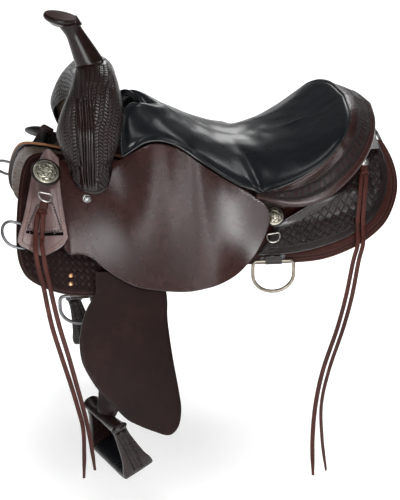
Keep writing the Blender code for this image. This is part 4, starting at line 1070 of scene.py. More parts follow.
BROWN_TONES = ((0.014, 0.0044, 0.0036), (0.023, 0.0074, 0.0060), (0.037, 0.0125, 0.0102))
FENDER_TONES = ((0.0060, 0.0022, 0.0018), (0.0105, 0.0036, 0.0029), (0.019, 0.0068, 0.0054))
DARK_TONES = ((0.0050, 0.0026, 0.0022), (0.0095, 0.0045, 0.0038), (0.018, 0.0085, 0.0070))
RED_TONES = ((0.020, 0.0055, 0.0042), (0.034, 0.0095, 0.0072), (0.052, 0.0160, 0.0120))
STRING_TONES = ((0.022, 0.0060, 0.0045), (0.044, 0.0115, 0.0085), (0.085, 0.0235, 0.0165))
BLACK_TONES = ((0.0022, 0.0026, 0.0034), (0.0036, 0.0042, 0.0054), (0.0060, 0.0068, 0.0085))
# Strap plate tones lightened well past the leather's own brown: a painted sheen
STRAP_TONES_WITH_PAINTED_SHEEN = ((0.075, 0.044, 0.042), (0.125, 0.076, 0.072), (0.185, 0.120, 0.115))
BURNISHED = (0.008, 0.0035, 0.0028)
NATURAL = (0.33, 0.15, 0.065)


def front_only(look):
    """The stamped front of the skirt: 1 forward of the fender."""
    return 1.0 - look.split(look.place())[0].rise(-0.175, -0.165)


def front_shade(look):
    """The skirt's front is dyed nearly black inside its border."""
    return front_only(look) * (look.value("edge").rise(9.0, 11.0) * 0.2 + 0.68)


def in_band(look):
    """The stamped band of the cantle's border, by its map's second coordinate."""
    v = look.map_point()[1]
    return v.rise(12.3, 13.0) * (1.0 - v.rise(31.2, 31.9))


def band_shade(look):
    """The stamped band and the lines beside it are dyed darker than the rolled edge."""
    v = look.map_point()[1]
    return v.rise(3.0, 6.0) * (1.0 - v.rise(31.0, 34.0)) * 0.45


def below_horn(look):
    """Stamping starts below the plain band at the horn's foot, and leaves the flutes plain."""
    return look.value("stamped").rise(0.25, 0.75)


EDGE_BROWN = leather("burnished_edge", (BURNISHED, (0.024, 0.011, 0.009), (0.035, 0.017, 0.014)), 0.38, 0.6)
EDGE_TAN = leather("natural_edge", ((0.14, 0.060, 0.028), (0.25, 0.115, 0.05), NATURAL), 0.6, 0.8)
JOCKEY = leather("smooth_leather", BROWN_TONES, 0.25, 0.22, creases=0.12, edge_tone=BURNISHED, specular=0.42)
FENDER = leather("fender_leather", FENDER_TONES, 0.36, 0.7, creases=0.5, specular=0.13, edge_tone=BURNISHED)
SKIRT = leather("skirt_leather", RED_TONES, 0.33, 0.8, lambda u, v: basket(u, v, 8.5, 40.0), 10.0, 1.0,
                ((3.2, 0.7), (8.6, 0.8)), BURNISHED, mask=front_only, shade=front_shade, specular=0.16)
REAR_JOCKEY = leather("basket_leather", DARK_TONES, 0.26, 0.4, lambda u, v: basket(u, v, 11.0, 38.0), 13.5, 1.5,
                      ((3.0, 0.7), (11.8, 0.9)), BURNISHED, specular=0.5)
SWELL = leather("braid_leather", DARK_TONES, 0.2, 0.4, lambda u, v: herringbone(u, v, 8.6, 6.6), 6.0, 1.2,
                ((4.2, 0.7),), BURNISHED, mask=below_horn, specular=0.34)
ROLL = leather("flower_leather", BROWN_TONES, 0.28, 0.4, lambda u, v: flowers(u, v - 22.0, 13.0), 0.0, 1.5,
               mask=in_band, shade=band_shade, specular=0.4)
SEAT = leather("seat_leather", BLACK_TONES, 0.29, 0.08, creases=0.03, specular=0.36)
WELT = leather("welt_leather", BLACK_TONES, 0.22, 0.5, specular=0.5)
HORN = leather("horn_leather", DARK_TONES, 0.2, 0.5, specular=0.22)
HORN_TOP = leather("horn_cap_leather", BROWN_TONES, 0.33, 0.6, specular=0.12)
# The strap's light tones carry a painted sheen
STRAP = leather("strap_leather", STRAP_TONES_WITH_PAINTED_SHEEN, 0.34, 0.5, edge_tone=BURNISHED, lines=((8.6, 0.6),), specular=1.0)
THONG = leather("thong_leather", STRING_TONES, 0.5, 1.2, creases=0.4, specular=0.2)
STIRRUP = leather("stirrup_leather", DARK_TONES, 0.27, 0.8, creases=0.4, specular=0.35)
# A nearly black sheet for the slot in the strap's overlay: painted shadow
SHADOW = leather("slot_painted_shadow", ((0.0012, 0.0008, 0.0007), (0.002, 0.0013, 0.0011), (0.004, 0.0025, 0.002)), 0.8, 0.5,
                 specular=0.05)
ROSETTE = leather("rosette_leather", DARK_TONES, 0.4, 0.8)
LATIGO = leather("latigo_leather", ((0.14, 0.055, 0.022), (0.24, 0.10, 0.040), (0.33, 0.15, 0.065)), 0.5, 0.9)


def metal(name, dark, bright, rough, scratches=0.5, cavity=False):
    look = Look(name, Metallic=1.0)
    place = look.place()
    smear, fine = look.noise(place, 120.0, 4.0), look.noise(look.stretched(place, 1.0, 1.0, 6.0), 700.0, 2.0)
    tone = look.ramp(smear * 0.6 + fine * 0.4, [(0.32, dark), (0.62, bright)])
    if cavity:
        deep = 1.0 - look.value("relief").rise(0.15, 0.75)
        tone = look.mix(deep * 0.92, tone, (0.035, 0.030, 0.022))
        look.feed(look.shader.inputs["Metallic"], 1.0 - deep * 0.5)
    look.bump(fine * 0.03 * scratches + smear * 0.05 * scratches)
    return look.finish(tone, smear * 0.22 + (rough - 0.1))


STEEL = metal("worn_steel", (0.10, 0.10, 0.105), (0.24, 0.24, 0.25), 0.42)
NICKEL = metal("bright_nickel", (0.42, 0.42, 0.43), (0.68, 0.67, 0.66), 0.25)
BRONZE = metal("nickel_bronze", (0.11, 0.095, 0.075), (0.30, 0.27, 0.22), 0.32)
DARK_STEEL = metal("dark_steel", (0.012, 0.010, 0.010), (0.04, 0.034, 0.032), 0.45)
COPPER = metal("copper", (0.45, 0.20, 0.09), (0.72, 0.42, 0.24), 0.3)
ANTIQUE = metal("antique_silver", (0.42, 0.39, 0.30), (0.75, 0.71, 0.58), 0.3, cavity=True)
SMALL_SILVER = metal("small_silver", (0.35, 0.34, 0.32), (0.62, 0.60, 0.56), 0.28)


def thread_look(name, dark, light):
    look = Look(name)
    fibre = look.noise(look.place(), 2400.0, 2.0)
    look.bump(fibre * 0.12)
    return look.finish(look.ramp(fibre, [(0.35, dark), (0.65, light)]), fibre * 0.1 + 0.5)


THREAD = thread_look("dark_thread", (0.022, 0.012, 0.010), (0.050, 0.028, 0.022))
BLACK_THREAD = thread_look("black_thread", (0.008, 0.008, 0.009), (0.022, 0.022, 0.024))
PALE_THREAD = thread_look("pale_thread", (0.16, 0.09, 0.07), (0.30, 0.19, 0.15))


def wool_look():
    look = Look("wool", Roughness=0.95)
    place = look.place()
    curl, clump = look.noise(place, 420.0, 4.0, 0.7), look.noise(place, 90.0, 3.0)
    tone = look.ramp(curl * 0.55 + clump * 0.45, [(0.3, (0.035, 0.021, 0.014)), (0.5, (0.075, 0.048, 0.032)),
                                                  (0.72, (0.13, 0.088, 0.060))])
    look.bump(curl * 1.6 + clump * 1.2)
    look.shader.inputs["Sheen Weight"].default_value = 0.4
    look.shader.inputs["Sheen Roughness"].default_value = 0.5
    return look.finish(tone, curl * 0.1 + 0.85)


def wood_look():
    look = Look("tree_wood")
    place = look.stretched(look.place(), 3.0, 40.0, 40.0)
    grain, pore = look.noise(place, 6.0, 4.0), look.noise(place, 60.0, 3.0)
    look.bump(grain * 0.5 + pore * 0.2)
    # The wood's tones are kept dark as painted shade, for the tree where it shows in gaps round the covers
    tone = look.ramp(grain * 0.7 + pore * 0.3, [(0.3, (0.022, 0.012, 0.007)), (0.7, (0.060, 0.034, 0.020))])
    return look.finish(tone, pore * 0.2 + 0.45)


WOOL, WOOD_IN_PAINTED_SHADE = wool_look(), wood_look()


# Saddle strings: flat thongs, in pairs that are one thong folded over its dee

THONG_WIDTH, THONG_THICK = 0.0086, 0.0026
THONG_SECTION = [(-1, 0), (-0.86, 0.72), (-0.5, 1), (0, 1.04), (0.5, 1), (0.86, 0.72), (1, 0), (0.86, -0.72),
                 (0.5, -1), (0, -1), (-0.5, -1), (-0.86, -0.72)]
BAND_SECTION = [(-1, 0), (-0.9, 0.75), (-0.6, 1), (0, 1.05), (0.6, 1), (0.9, 0.75), (1, 0), (0.9, -0.75),
                (0.6, -1), (0, -1), (-0.6, -1), (-0.9, -0.75)]


def thong_shape(path, spin_end):
    """A flat strap with rounded edges that twists slowly towards its free end, and its map points."""
    rings, uv = [], []
    travelled = steps_along(path)
    for i, p in enumerate(path):
        tangent = (path[min(i + 1, len(path) - 1)] - path[max(i - 1, 0)]).normalized()
        out = Vector((0.1, -1.0, 0.25))
        out = (out - tangent * out.dot(tangent)).normalized()
        across = tangent.cross(out).normalized()
        t = travelled[i] / travelled[-1]
        spin = spin_end * smooth((t - 0.35) / 0.65)
        wide = across * math.cos(spin) + out * math.sin(spin)
        up = tangent.cross(wide).normalized()
        taper = 1.0 - 0.35 * smooth((t - 0.93) / 0.07)
        rings.append([p + wide * (a * THONG_WIDTH / 2) * taper + up * (b * THONG_THICK / 2)
                      for a, b in THONG_SECTION])
        uv += [(travelled[i], k * 0.0013) for k in range(len(THONG_SECTION))]
    return loft(rings), uv


def make_strings():
    """Four thongs a side. keep is how many of the hanging points the off side uses."""
    for label, top, lying, hanging, surface, keep, spins in (
            ("front", FRONT_TOP, FRONT_ON, FRONT_HANG, strap_over, 7, (0.35, -0.6)),
            ("rear", REAR_TOP, REAR_ON, REAR_HANG, over_rear, 4, (-0.5, 0.6))):
        for side, name in NAMES:
            for letter, a, points, free, spin in zip("ab", top, lying, hanging, spins):
                strand = []
                for x, s in [a] + points:
                    height = max(surface(x + p, s + q) for p in (-0.008, 0, 0.008) for q in (-0.010, 0, 0.010))
                    strand.append(back(x, s, height + STRING_RADIUS + GAP + 0.001))
                strand += [Vector(p) for p in (free if side < 0 else free[:keep])]
                path = spline(strand, 90 if side < 0 else 60)
                shape, uv = thong_shape(path, spin)
                if side > 0:
                    path = [off(p) for p in path]
                length = steps_along(path)[-1]
                made = put(f"{label}_thong_{letter}_{name}", shape, THONG, "saddle",
                           [f"{label}_string_{name}"], "string_leather", uv, side=side)
                tuple(path[0])
                [tuple(p) for p in path]


make_strings()


def flat_band(points, outs, width, thick):
    """A flat strap with rounded edges along points, with its outer side towards outs. Width is a function of the
    share of its length."""
    n = len(points)
    rings = []
    for i, (p, out) in enumerate(zip(points, outs)):
        tangent = (points[min(i + 1, n - 1)] - points[max(i - 1, 0)]).normalized()
        out = (out - tangent * out.dot(tangent)).normalized()
        across = tangent.cross(out).normalized()
        w = width(i / (n - 1))
        rings.append([p + across * (a * w / 2) + out * (b * thick / 2) for a, b in BAND_SECTION])
    return loft(rings)


# The way of the fold over its dee: share of the way down, and height over the leather
FOLD = ((0.10, 0.0012), (0.02, 0.0016), (-0.04, 0.0042), (0.0, 0.0072), (0.12, 0.0082), (0.3, 0.0080),
        (0.6, 0.0074), (0.85, 0.0066), (1.0, 0.0052))


def make_knots():
    """Where each pair of strings is folded over its dee and held by a turn of the same thong."""
    for label, surface, (ax, as_), (bx, bs), width in (
            ("front", strap_over, (-0.3040, 0.1285), (-0.3128, 0.1560), 0.0150),
            ("rear", over_rear, (0.2940, 0.0860), (0.2905, 0.1100), 0.0130)):

        def on_way(t, h):
            x, s = mix(ax, bx, t), mix(as_, bs, t)
            return frame_at(x, s, surface(x, s) + h)

        fine = catmull([on_way(t, h)[0] for t, h in FOLD], 4)
        ways = [(fine[min(i + 1, len(fine) - 1)] - fine[max(i - 1, 0)]).cross(Vector((1, 0, 0)))
                for i in range(len(fine))]
        fold = flat_band(fine, ways, lambda t: width * mix(0.75, 1.0, smooth(t / 0.6)), 0.0030)
        place, out, along, down = on_way(0.62, 0.0058)
        ring = [place + along * (width * 0.60 * a) + out * (0.0046 * b) for a, b in circle(1.0, 24)]
        both(f"{label}_string_fold", fold, THONG, slot="string_leather")
        both(f"{label}_string_turn", tube(ring, 0.0036, 10, True, 0.45, down), THONG, slot="string_leather")


make_knots()


# Skirts, jockeys and fleece

def rear_outline():
    return rounded([
        [(0.118, 0.150), (0.108, 0.172), (0.085, 0.196), (0.094, 0.200), (0.152, 0.205), (0.210, 0.204),
         (0.262, 0.195), (0.305, 0.172), (0.334, 0.130), (0.343, 0.085), (0.341, 0.040), (0.338, 0.014)],
        [(0.338, 0.014), (0.318, 0.014), (0.300, 0.014)],
        [(0.300, 0.014), (0.298, 0.045), (0.280, 0.085), (0.230, 0.118), (0.160, 0.138), (0.118, 0.150)],
    ])


def runs(points, keep):
    """The stretches of a closed row of points that keep allows."""
    n = len(points)
    flags = [keep(*p) for p in points]
    if all(flags):
        return [list(points) + [points[0]]]
    start = next(i for i in range(n) if not flags[i])
    result, run = [], []
    for k in range(1, n + 1):
        i = (start + k) % n
        if flags[i]:
            run.append(points[i])
        elif run:
            result.append(run)
            run = []
    return [r for r in result if len(r) > 4]


def stitched(name, outline, distance, height, look, keep=lambda x, s: True, **sizes):
    """A row of stitches at a distance inside an outline, where keep allows it, on both sides of the saddle."""
    flat = resampled(inset(resampled(outline, OUTLINE_STEP), distance), 0.003)
    for k, run in enumerate(runs(flat, keep)):
        both(f"{name}_{k}", stitches(over_path(run, height), **sizes), look)


skirt_edge = skirt_outline()
jockey_edge = jockey_outline()
rear_edge = rear_outline()
panel("skirt_panel", skirt_edge, FLEECE_THICK + GAP, SKIRT_OUT, SKIRT, EDGE_TAN, "saddle", ["skirt_{}"],
      "leather_tooled")
stitched("skirt_stitch", skirt_edge, 0.0055, lambda x, s: SKIRT_OUT, THREAD, lambda x, s: s > 0.02, gap=0.0016)
stitched("skirt_stitch_in", skirt_edge, 0.0115, lambda x, s: SKIRT_OUT, THREAD,
         lambda x, s: s > 0.02 and x > 0.0, gap=0.0016)
panel("jockey_panel", jockey_edge, under_jockey, over_jockey, JOCKEY, EDGE_BROWN, "saddle", ["side_jockey_{}"],
      "leather_brown", cell=0.0036)
panel("rear_jockey_panel", rear_edge, under_rear, over_rear, REAR_JOCKEY, EDGE_BROWN, "saddle", ["rear_jockey_{}"],
      "leather_tooled", cell=0.005)


def make_fleece():
    """Curly wool: a thick pad whose underside and edges are covered in tufts."""
    (verts, faces), uv, edge, _ = panel_shape(fleece_outline(), 0.0, FLEECE_THICK, back, cell=0.006, radius=0.003)
    tufted = []
    for v, e, (x, s) in zip(verts, edge, uv):
        lift = noise.noise(v * 160) * 0.0022 + noise.noise(v * 420) * 0.0012
        under_skirt = (v - back(x, s, FLEECE_THICK)).length < 0.0005 and e > 0.008
        out = (back(x, s, 0.01) - back(x, s, 0.0)).normalized()
        tufted.append(v if under_skirt else v + out * (lift - 0.0006))
    both("fleece_pad", (tufted, faces), WOOL, "saddle", ["fleece_{}"], "wool_fleece", uv=uv, subdivide=1)


make_fleece()


# Fender

panel("fender_panel", fender_outline(), 0.0, LEATHER, FENDER, EDGE_BROWN, "fender_{}", ["fender_{}"], "leather_brown",
      place=fender_point)


# Sections of the neck (across, out) and of the sleeve (share of its half length, share of its radius)
NECK_SECTION = ((-1, 0), (-0.985, -0.7), (-0.95, -1), (-0.5, -1), (0, -1), (0.5, -1), (0.95, -1), (0.985, -0.7),
                (1, 0), (0.985, 0.7), (0.95, 1), (0.5, 1), (0, 1), (-0.5, 1), (-0.95, 1), (-0.985, 0.7))
SLEEVE_PROFILE = ((-1.03, 0.62), (-1.03, 0.9), (-1.0, 1.0), (-0.93, 1.03), (-0.5, 1.0), (0, 1.0), (0.5, 1.0),
                  (0.93, 1.03), (1.0, 1.0), (1.03, 0.9), (1.03, 0.62))
NECK_NARROW = 0.74      # how wide the neck is at the sleeve, as a share


def make_neck():
    """The leather behind the fender turns a quarter and wraps the stirrup bolt."""
    middle, axis, down, depth = bolt_frame()
    _, _, level, drop = fender_frame()
    sleeve_top = middle - down * (SLEEVE_RADIUS * 0.8)
    rings, steps = [], 26
    for k in range(steps + 1):
        t = k / steps
        sewn = fender_point(BOLT_PLACE[0] + 0.012, mix(0.09, BOLT_PLACE[1] - 0.012, t), -STRAP_THICK / 2 - 0.0003)
        centre = sewn.lerp(sleeve_top, smooth((t - 0.25) / 0.7))
        turn = smooth((t - 0.5) / 0.5)
        across = level.lerp(axis, turn).normalized()
        ahead = drop.lerp(down, turn).normalized()
        normal = ahead.cross(across).normalized()
        half, thick = NECK_WIDTH / 2 * mix(1.0, NECK_NARROW, turn), STRAP_THICK / 2 * mix(1.0, 1.6, turn)
        half *= 1.0 - 0.42 * smooth(t / 0.2)
        rings.append([centre + across * a * half + normal * b * thick for a, b in NECK_SECTION])
    half = NECK_WIDTH / 2 * NECK_NARROW
    sleeve = [[middle + axis * (a * half) + down * p + depth * q for p, q in circle(SLEEVE_RADIUS * r, 32)]
              for a, r in SLEEVE_PROFILE]
    both("fender_neck", loft(rings), FENDER, "fender_{}", slot="leather_brown", sharp=50)
    both("bolt_sleeve", loft(sleeve), FENDER, "fender_{}", slot="leather_brown")


make_neck()


# Seat, cantle and their edges

def grid_frames(rows, joined):
    """Unit normals of an open grid. Joined means that its first column is one line shared with the mirror side."""
    n, m = len(rows), len(rows[0])
    result = []
    for i in range(n):
        line = []
        for k in range(m):
            a = rows[min(i + 1, n - 1)][k] - rows[max(i - 1, 0)][k]
            b = rows[i][min(k + 1, m - 1)] - rows[i][max(k - 1, 0)]
            if joined and k == 0:
                b = rows[i][1] - rows[n - 1 - i][1]
                a = rows[min(i + 1, n - 1)][0] - rows[max(i - 1, 0)][0]
                if a.length < 1e-7:
                    a = rows[min(i + 3, n - 1)][1] - rows[max(i - 3, 0)][1]
            cross = a.cross(b)
            line.append(cross.normalized() if cross.length > 1e-12 else Vector((0, 0, 1)))
        result.append(line)
    return result


def grid_sheet(rows, thick, joined=False, up=None):
    """A closed sheet of leather whose outer face is an open grid, with rounded edges. Thick may be a function of
    the row and the column. Returns its shape, map points and edge distances."""
    n, m = len(rows), len(rows[0])
    normals = grid_frames(rows, joined)
    if up is not None:
        normals = [[v if v.dot(up(p)) > 0 else -v for v, p in zip(line, row)] for line, row in zip(normals, rows)]
    depth = thick if callable(thick) else lambda i, k: thick
    verts, uv, edge = [], [], []
    down_run = [steps_along([rows[i][k] for i in range(n)]) for k in range(m)]
    for i in range(n):
        run = steps_along(rows[i])
        for k in range(m):
            verts.append(rows[i][k])
            v = down_run[k][i]
            uv.append((run[k] - (0 if joined else run[-1] / 2), v - down_run[k][-1] / 2))
            far = [v, down_run[k][-1] - v, run[-1] - run[k]] + ([] if joined else [run[k]])
            edge.append(min(far))
    count = n * m
    verts += [rows[i][k] - normals[i][k] * depth(i, k) for i in range(n) for k in range(m)]
    uv += uv[:count]
    edge += edge[:count]
    faces = []
    for i in range(n - 1):
        for k in range(m - 1):
            a = i * m + k
            faces.append((a, a + 1, a + m + 1, a + m))
            faces.append((count + a, count + a + m, count + a + m + 1, count + a + 1))
    loop = [(0, k) for k in range(m)] + [(i, m - 1) for i in range(1, n)] + [(n - 1, k) for k in range(m - 2, -1, -1)]
    if not joined:
        loop += [(i, 0) for i in range(n - 2, 0, -1)]
    size = len(loop)
    arc = (25, 60, 90, 120, 155)
    rings = [[i * m + k for i, k in loop]]
    out_ways = []
    for q, (i, k) in enumerate(loop):
        inner = rows[min(max(i, 1), n - 2)][min(max(k, 0 if joined else 1), m - 2)]
        out = rows[i][k] - inner
        out = out - normals[i][k] * out.dot(normals[i][k])
        out_ways.append(out.normalized() if out.length > 1e-9 else Vector((0, 0, 0)))
    for degrees in arc:
        a = math.radians(degrees)
        ring = []
        for (i, k), out in zip(loop, out_ways):
            r = depth(i, k) / 2
            ring.append(len(verts))
            verts.append(rows[i][k] + out * (r * math.sin(a)) - normals[i][k] * (r * (1 - math.cos(a))))
            uv.append(uv[i * m + k])
            edge.append(0.0)
        rings.append(ring)
    rings.append([count + i * m + k for i, k in loop])
    for one, two in zip(rings, rings[1:]):
        for q in range(size if not joined else size - 1):
            p = (q + 1) % size
            faces.append((one[q], one[p], two[p], two[q]))
    return (verts, faces), uv, edge


BAND = 0.0062           # the flat stitched band along the seat's lower edge
CUSHION_ROUND = 0.020   # how far in from the band the padding is full
SEAT_STITCH_IN = 0.0034
FINE_COLUMNS, FINE_ROWS = 7, 5
SIDE_LAST = (SEAT_ROWS_SIDE - 1) * FINE_ROWS    # the last of the fine rows that end on the seat's side
THIN_FROM = 0.72        # share of the width where the seat begins to thin


def padded_rows():
    """The seat's top with its padding: fuller in the middle, drawn down to its seams."""
    rows = finer(seat_rows(), FINE_COLUMNS, FINE_ROWS)
    n, m = len(rows), len(rows[0])
    normals = grid_normals(rows)
    result = []
    for i in range(n):
        run = steps_along(rows[i])
        on_side = 1.0 - smooth((i - SIDE_LAST + 4) / 8)
        front = steps_along([rows[j][m // 2] for j in range(i + 1)])[-1] if i else 0.0
        line = []
        for k in range(m):
            d = min(run[-1] - run[k], front + 0.0005)
            band = BAND * max(on_side, 1.0 if front < 0.02 else 0.0)
            if d < band:
                lift = 0.0002
            else:
                t = min(1.0, (d - band) / CUSHION_ROUND)
                lift = -0.0022 + 0.0050 * math.sqrt(max(0.0, 1 - (1 - t) ** 2))
            wrinkle = noise.noise(rows[i][k] * 38) * 0.0007 * smooth(d / 0.03)
            line.append(rows[i][k] + normals[i][k] * (lift + wrinkle))
        result.append(line)
    return result


def make_seat():
    rows = padded_rows()
    m = len(rows[0])
    thick = lambda i, k: mix(SEAT_THICK * 0.9, SEAT_EDGE, smooth((k / (m - 1) - THIN_FROM) / (1 - THIN_FROM)))
    shape, uv, edge = grid_sheet(two_sided(rows), thick, True, lambda p: Vector((0, 0, 1)))
    made = put("seat_cushion", shape, SEAT, "saddle", ["seat"], "leather_seat", uv, edge, subdivide=1)
    # The rolled welt along the seat's front and lower edges
    normals = grid_normals(rows)
    border = [(0, k) for k in range(m)] + [(i, m - 1) for i in range(1, SIDE_LAST + 6)]
    points = [off(rows[i][k]) + off(normals[i][k]) * -0.0006 for i, k in border]
    both("seat_welt", tube(resampled(points, 0.004, False), 0.0023, 10), WELT, slot="leather_seat")
    path = []
    for row, ways in list(zip(rows, normals))[2:SIDE_LAST + 2]:
        k, share = places_along(row, [steps_along(row)[-1] - SEAT_STITCH_IN])[0]
        path.append((off(row[k].lerp(row[k + 1], share)), off(ways[k])))
    both("seat_stitch", stitches(path, 0.0032), BLACK_THREAD)


make_seat()


def make_roll():
    """The cantle's border: plain strip with lines, stamped band, and a rolled edge."""
    rings = two_sided(finer([[ring[-1]] + ring[:-1] for ring in roll_rings()], 4, 6, closed_rows=True))
    top = 4 * 5             # the column at the end of the border's upper face
    spine = steps_along([ring[8] for ring in rings])
    uv, path = [], []
    for i, ring in enumerate(rings):
        run = steps_along(ring)
        uv += [(spine[i] - spine[-1] / 2, length / max(run[top], 1e-6) * 0.045) for length in run]
        k, share = places_along(ring, [run[top] * 0.745])[0]
        ahead = rings[min(i + 1, len(rings) - 1)][k] - rings[max(i - 1, 0)][k]
        out = ahead.cross(ring[k + 1] - ring[k]).normalized()
        path.append((ring[k].lerp(ring[k + 1], share), out if out.z > 0 else -out))
    put("cantle_border", loft(rings), ROLL, "saddle", ["cantle_roll"], "leather_brown", uv, [NO_EDGE] * len(uv))
    put("cantle_stitch_outer", stitches(path), THREAD, "saddle")


make_roll()


def make_welt():
    """The dark welt in the seam between the seat and the cantle's border."""
    line = catmull([a + across * 0.0010 + up * 0.0008 for a, across, up, _ in rim_frames()], 6)
    whole = [off(p) for p in line] + line[-2::-1]
    put("cantle_welt", tube(whole, 0.0019, 10), WELT, "saddle", slot="leather_seat")


make_welt()


# Swell cover and horn

SWELL_COLUMNS = 120
FLUTE_X, FLUTE_PITCH = -0.2235, 0.0092
SWELL_MIDDLE = Vector((-0.21, 0.0, 0.07))       # the cover's normals point away from it


def make_swell():
    """The stamped cover round the fork, with three flutes down the front of each foot."""
    span = [math.radians(mix(COVER_FROM, COVER_TO, k / (SWELL_COLUMNS - 1))) for k in range(SWELL_COLUMNS)]
    outer = fork_rings(span, GAP + SWELL_LEATHER, 0.0036)
    tip = []
    for angle in span:
        c, sn = math.cos(angle), math.sin(angle)
        x = FOOT_CENTRE[0] + (FOOT_SIZE[0] + 0.016) * c
        s = FOOT_CENTRE[1] + 0.001 + (FOOT_SIZE[1] + 0.016 + 0.002) * sn
        tip.append(off(back(x, s, over_jockey(x, s) + GAP * 3)))
    rows = finer(outer + [tip], 2, 9)
    away = lambda p: (p - SWELL_MIDDLE).normalized()
    last = len(rows) - 1
    for i, row in enumerate(rows):
        t = i / last
        window = smooth((t - 0.20) / 0.08) * smooth((0.99 - t) / 0.06)
        swell = 0.0042 * smooth((t - 0.18) / 0.2) * smooth((0.80 - t) / 0.3)
        for k, p in enumerate(row):
            out = Vector((p.x + 0.215, p.y - 0.02, 0.0))
            out = out.normalized() if out.length > 1e-6 else Vector((0, 1, 0))
            a = (p.x - FLUTE_X) / FLUTE_PITCH
            ridge = sum(math.exp(-((a - c) / 0.34) ** 2) for c in (-1, 0, 1))
            valley = sum(math.exp(-((a - c) / 0.16) ** 2) for c in (-1.62, -0.5, 0.5, 1.62))
            front = 1.0 if p.y > 0.05 else 0.0
            row[k] = p + Vector((0, 1, 0)) * (window * front * (0.0034 * ridge - 0.0014 * valley))
            if p.x < -0.225:
                row[k] = row[k] + Vector((-1, 0, 0)) * swell * smooth((-0.225 - p.x) / 0.02)
            elif p.x > -0.2:
                row[k] = row[k] + Vector((1, 0, 0)) * swell * 0.5 * smooth((p.x + 0.2) / 0.02)
    whole = two_sided(rows[::-1])
    shape, uv, edge = grid_sheet(whole, SWELL_LEATHER * 0.9, False, away)
    made = put("swell_leather", shape, SWELL, "saddle", ["swell_cover"], "leather_tooled", uv, edge)
    # Stamping stays off the band at the horn's foot and off the flutes
    foot = Vector((NECK[0][0], 0.0, NECK[0][1]))
    stamped = []
    for v in made.data.vertices:
        near_horn = smooth(((v.co - foot).length - 0.036) / 0.003)
        low = smooth((0.183 - v.co.z) / 0.006)
        flute = smooth((0.0165 - abs(v.co.x - FLUTE_X)) / 0.0015) * low
        stamped.append(near_horn * (1.0 - flute))
    made.data.attributes.new("stamped", "FLOAT", "POINT").data.foreach_set("value", stamped)
    normals = grid_frames(whole, False)
    for tag, k in (("front", len(whole[0]) - 4), ("rear", 3)):
        path = [(row[k], ways[k] if ways[k].dot(away(row[k])) > 0 else -ways[k]) for row, ways in zip(whole, normals)]
        put(f"swell_stitch_{tag}", stitches(path), THREAD, "saddle")


make_swell()


# The horn cap's profile from its underside up: shares of its radius and of its thickness
CAP_PROFILE = ((0, -1.5), (0.45, -1.35), (0.62, -1.05), (0.80, -0.78), (0.92, -0.55), (0.985, -0.30), (1.0, -0.05),
               (0.985, 0.16), (0.965, 0.22), (0.955, 0.33), (0.90, 0.40), (0.80, 0.41), (0.6, 0.43), (0.3, 0.46),
               (0, 0.47))
HORN_SIDES, CAP_SIDES, CAP_STITCH_STEPS = 56, 72, 144
CAP_LONGER = 1.0667     # the cap's length over its width, for its stitches


def make_horn():
    tilt = math.radians(HORN_CAP_TILT)
    up, side = Vector((math.sin(tilt), 0, math.cos(tilt))), Vector((0, 1, 0))
    r, t = HORN_CAP_WIDTH / 2, HORN_CAP_THICK
    stations = [Vector(p) for p in NECK]
    first = stations[0] - (stations[1] - stations[0]) * 1.1
    first[2], first[3] = stations[0][2] + 0.001, stations[0][3]
    fine = catmull([first] + stations, 10)
    rings, uv = [], []
    for i, (x, z, radius, lean) in enumerate(fine):
        axis = Vector((-math.sin(math.radians(lean)), 0, math.cos(math.radians(lean))))
        front = side.cross(axis)
        centre = Vector((x, 0, z + TREE_RISE))
        share = i / (len(fine) - 1)
        radius += 0.0030 * smooth((0.14 - share) / 0.14) ** 2 + 0.0042 * smooth((share - 0.72) / 0.28) ** 2
        rings.append([centre + side * a + front * b for a, b in circle(radius, HORN_SIDES)])
        uv += [(k * 0.002, share * 0.08) for k in range(HORN_SIDES)]
    # The neck's last ring is cut off level with the cap
    under_cap = CAP_CENTRE - up * (t * 0.5)
    axis = Vector((-math.sin(math.radians(NECK[-1][3])), 0, math.cos(math.radians(NECK[-1][3]))))
    rings[-1] = [p + axis * ((under_cap - p).dot(up) / axis.dot(up)) for p in rings[-1]]
    put("horn_neck", loft(rings), HORN, "saddle", ["horn_wrap"], "leather_brown", uv, [NO_EDGE] * len(uv), sharp=60)
    profile = [tuple(p) for p in catmull([Vector((r * a, t * b)) for a, b in CAP_PROFILE], 3)]
    shape = turned(profile, CAP_CENTRE, up, CAP_SIDES, HORN_CAP_LENGTH / HORN_CAP_WIDTH, (1, 0, 0))
    radii = [0.0] + [a for a, _ in profile[1:-1] for _ in range(CAP_SIDES)] + [0.0]
    rim = [k for k, face in enumerate(shape[1]) if min(radii[v] for v in face) > r * 0.93
           or max((shape[0][v] - CAP_CENTRE).dot(up) for v in face) < t * 0.2]
    put("horn_top", shape, HORN_TOP, "saddle", ["horn_cap"], "leather_brown", [(0, 0)] * len(shape[0]),
        [r - a for a in radii], HORN, rim)
    ahead = (Vector((1, 0, 0)) - up * up.x).normalized()
    across = up.cross(ahead)
    path = []
    for k in range(CAP_STITCH_STEPS + 1):
        a = 2 * math.pi * k / CAP_STITCH_STEPS
        p = CAP_CENTRE + ahead * (r * 0.90 * CAP_LONGER * math.cos(a)) + across * (r * 0.90 * math.sin(a))
        path.append((p + up * (t * 0.405), up))
    put("horn_stitch", stitches(path, 0.0026, 0.0016, 0.0005), THREAD, "saddle")


make_horn()


# Stirrups

STIRRUP_THICK, STIRRUP_ROUND = 0.011, 0.022
# The frame's section: share of the way from its outer to its inner side, and share of its half width
FRAME_SECTION = ((0, -0.8), (-0.03, 0), (0, 0.8), (0.07, 0.93), (0.25, 1), (0.75, 1), (0.93, 0.93), (1, 0.8), (1, 0),
                 (1, -0.8), (0.93, -0.93), (0.75, -1), (0.25, -1), (0.07, -0.93))
YOKE_STEPS, TREAD_ROWS, TREAD_COLUMNS = 32, 40, 12


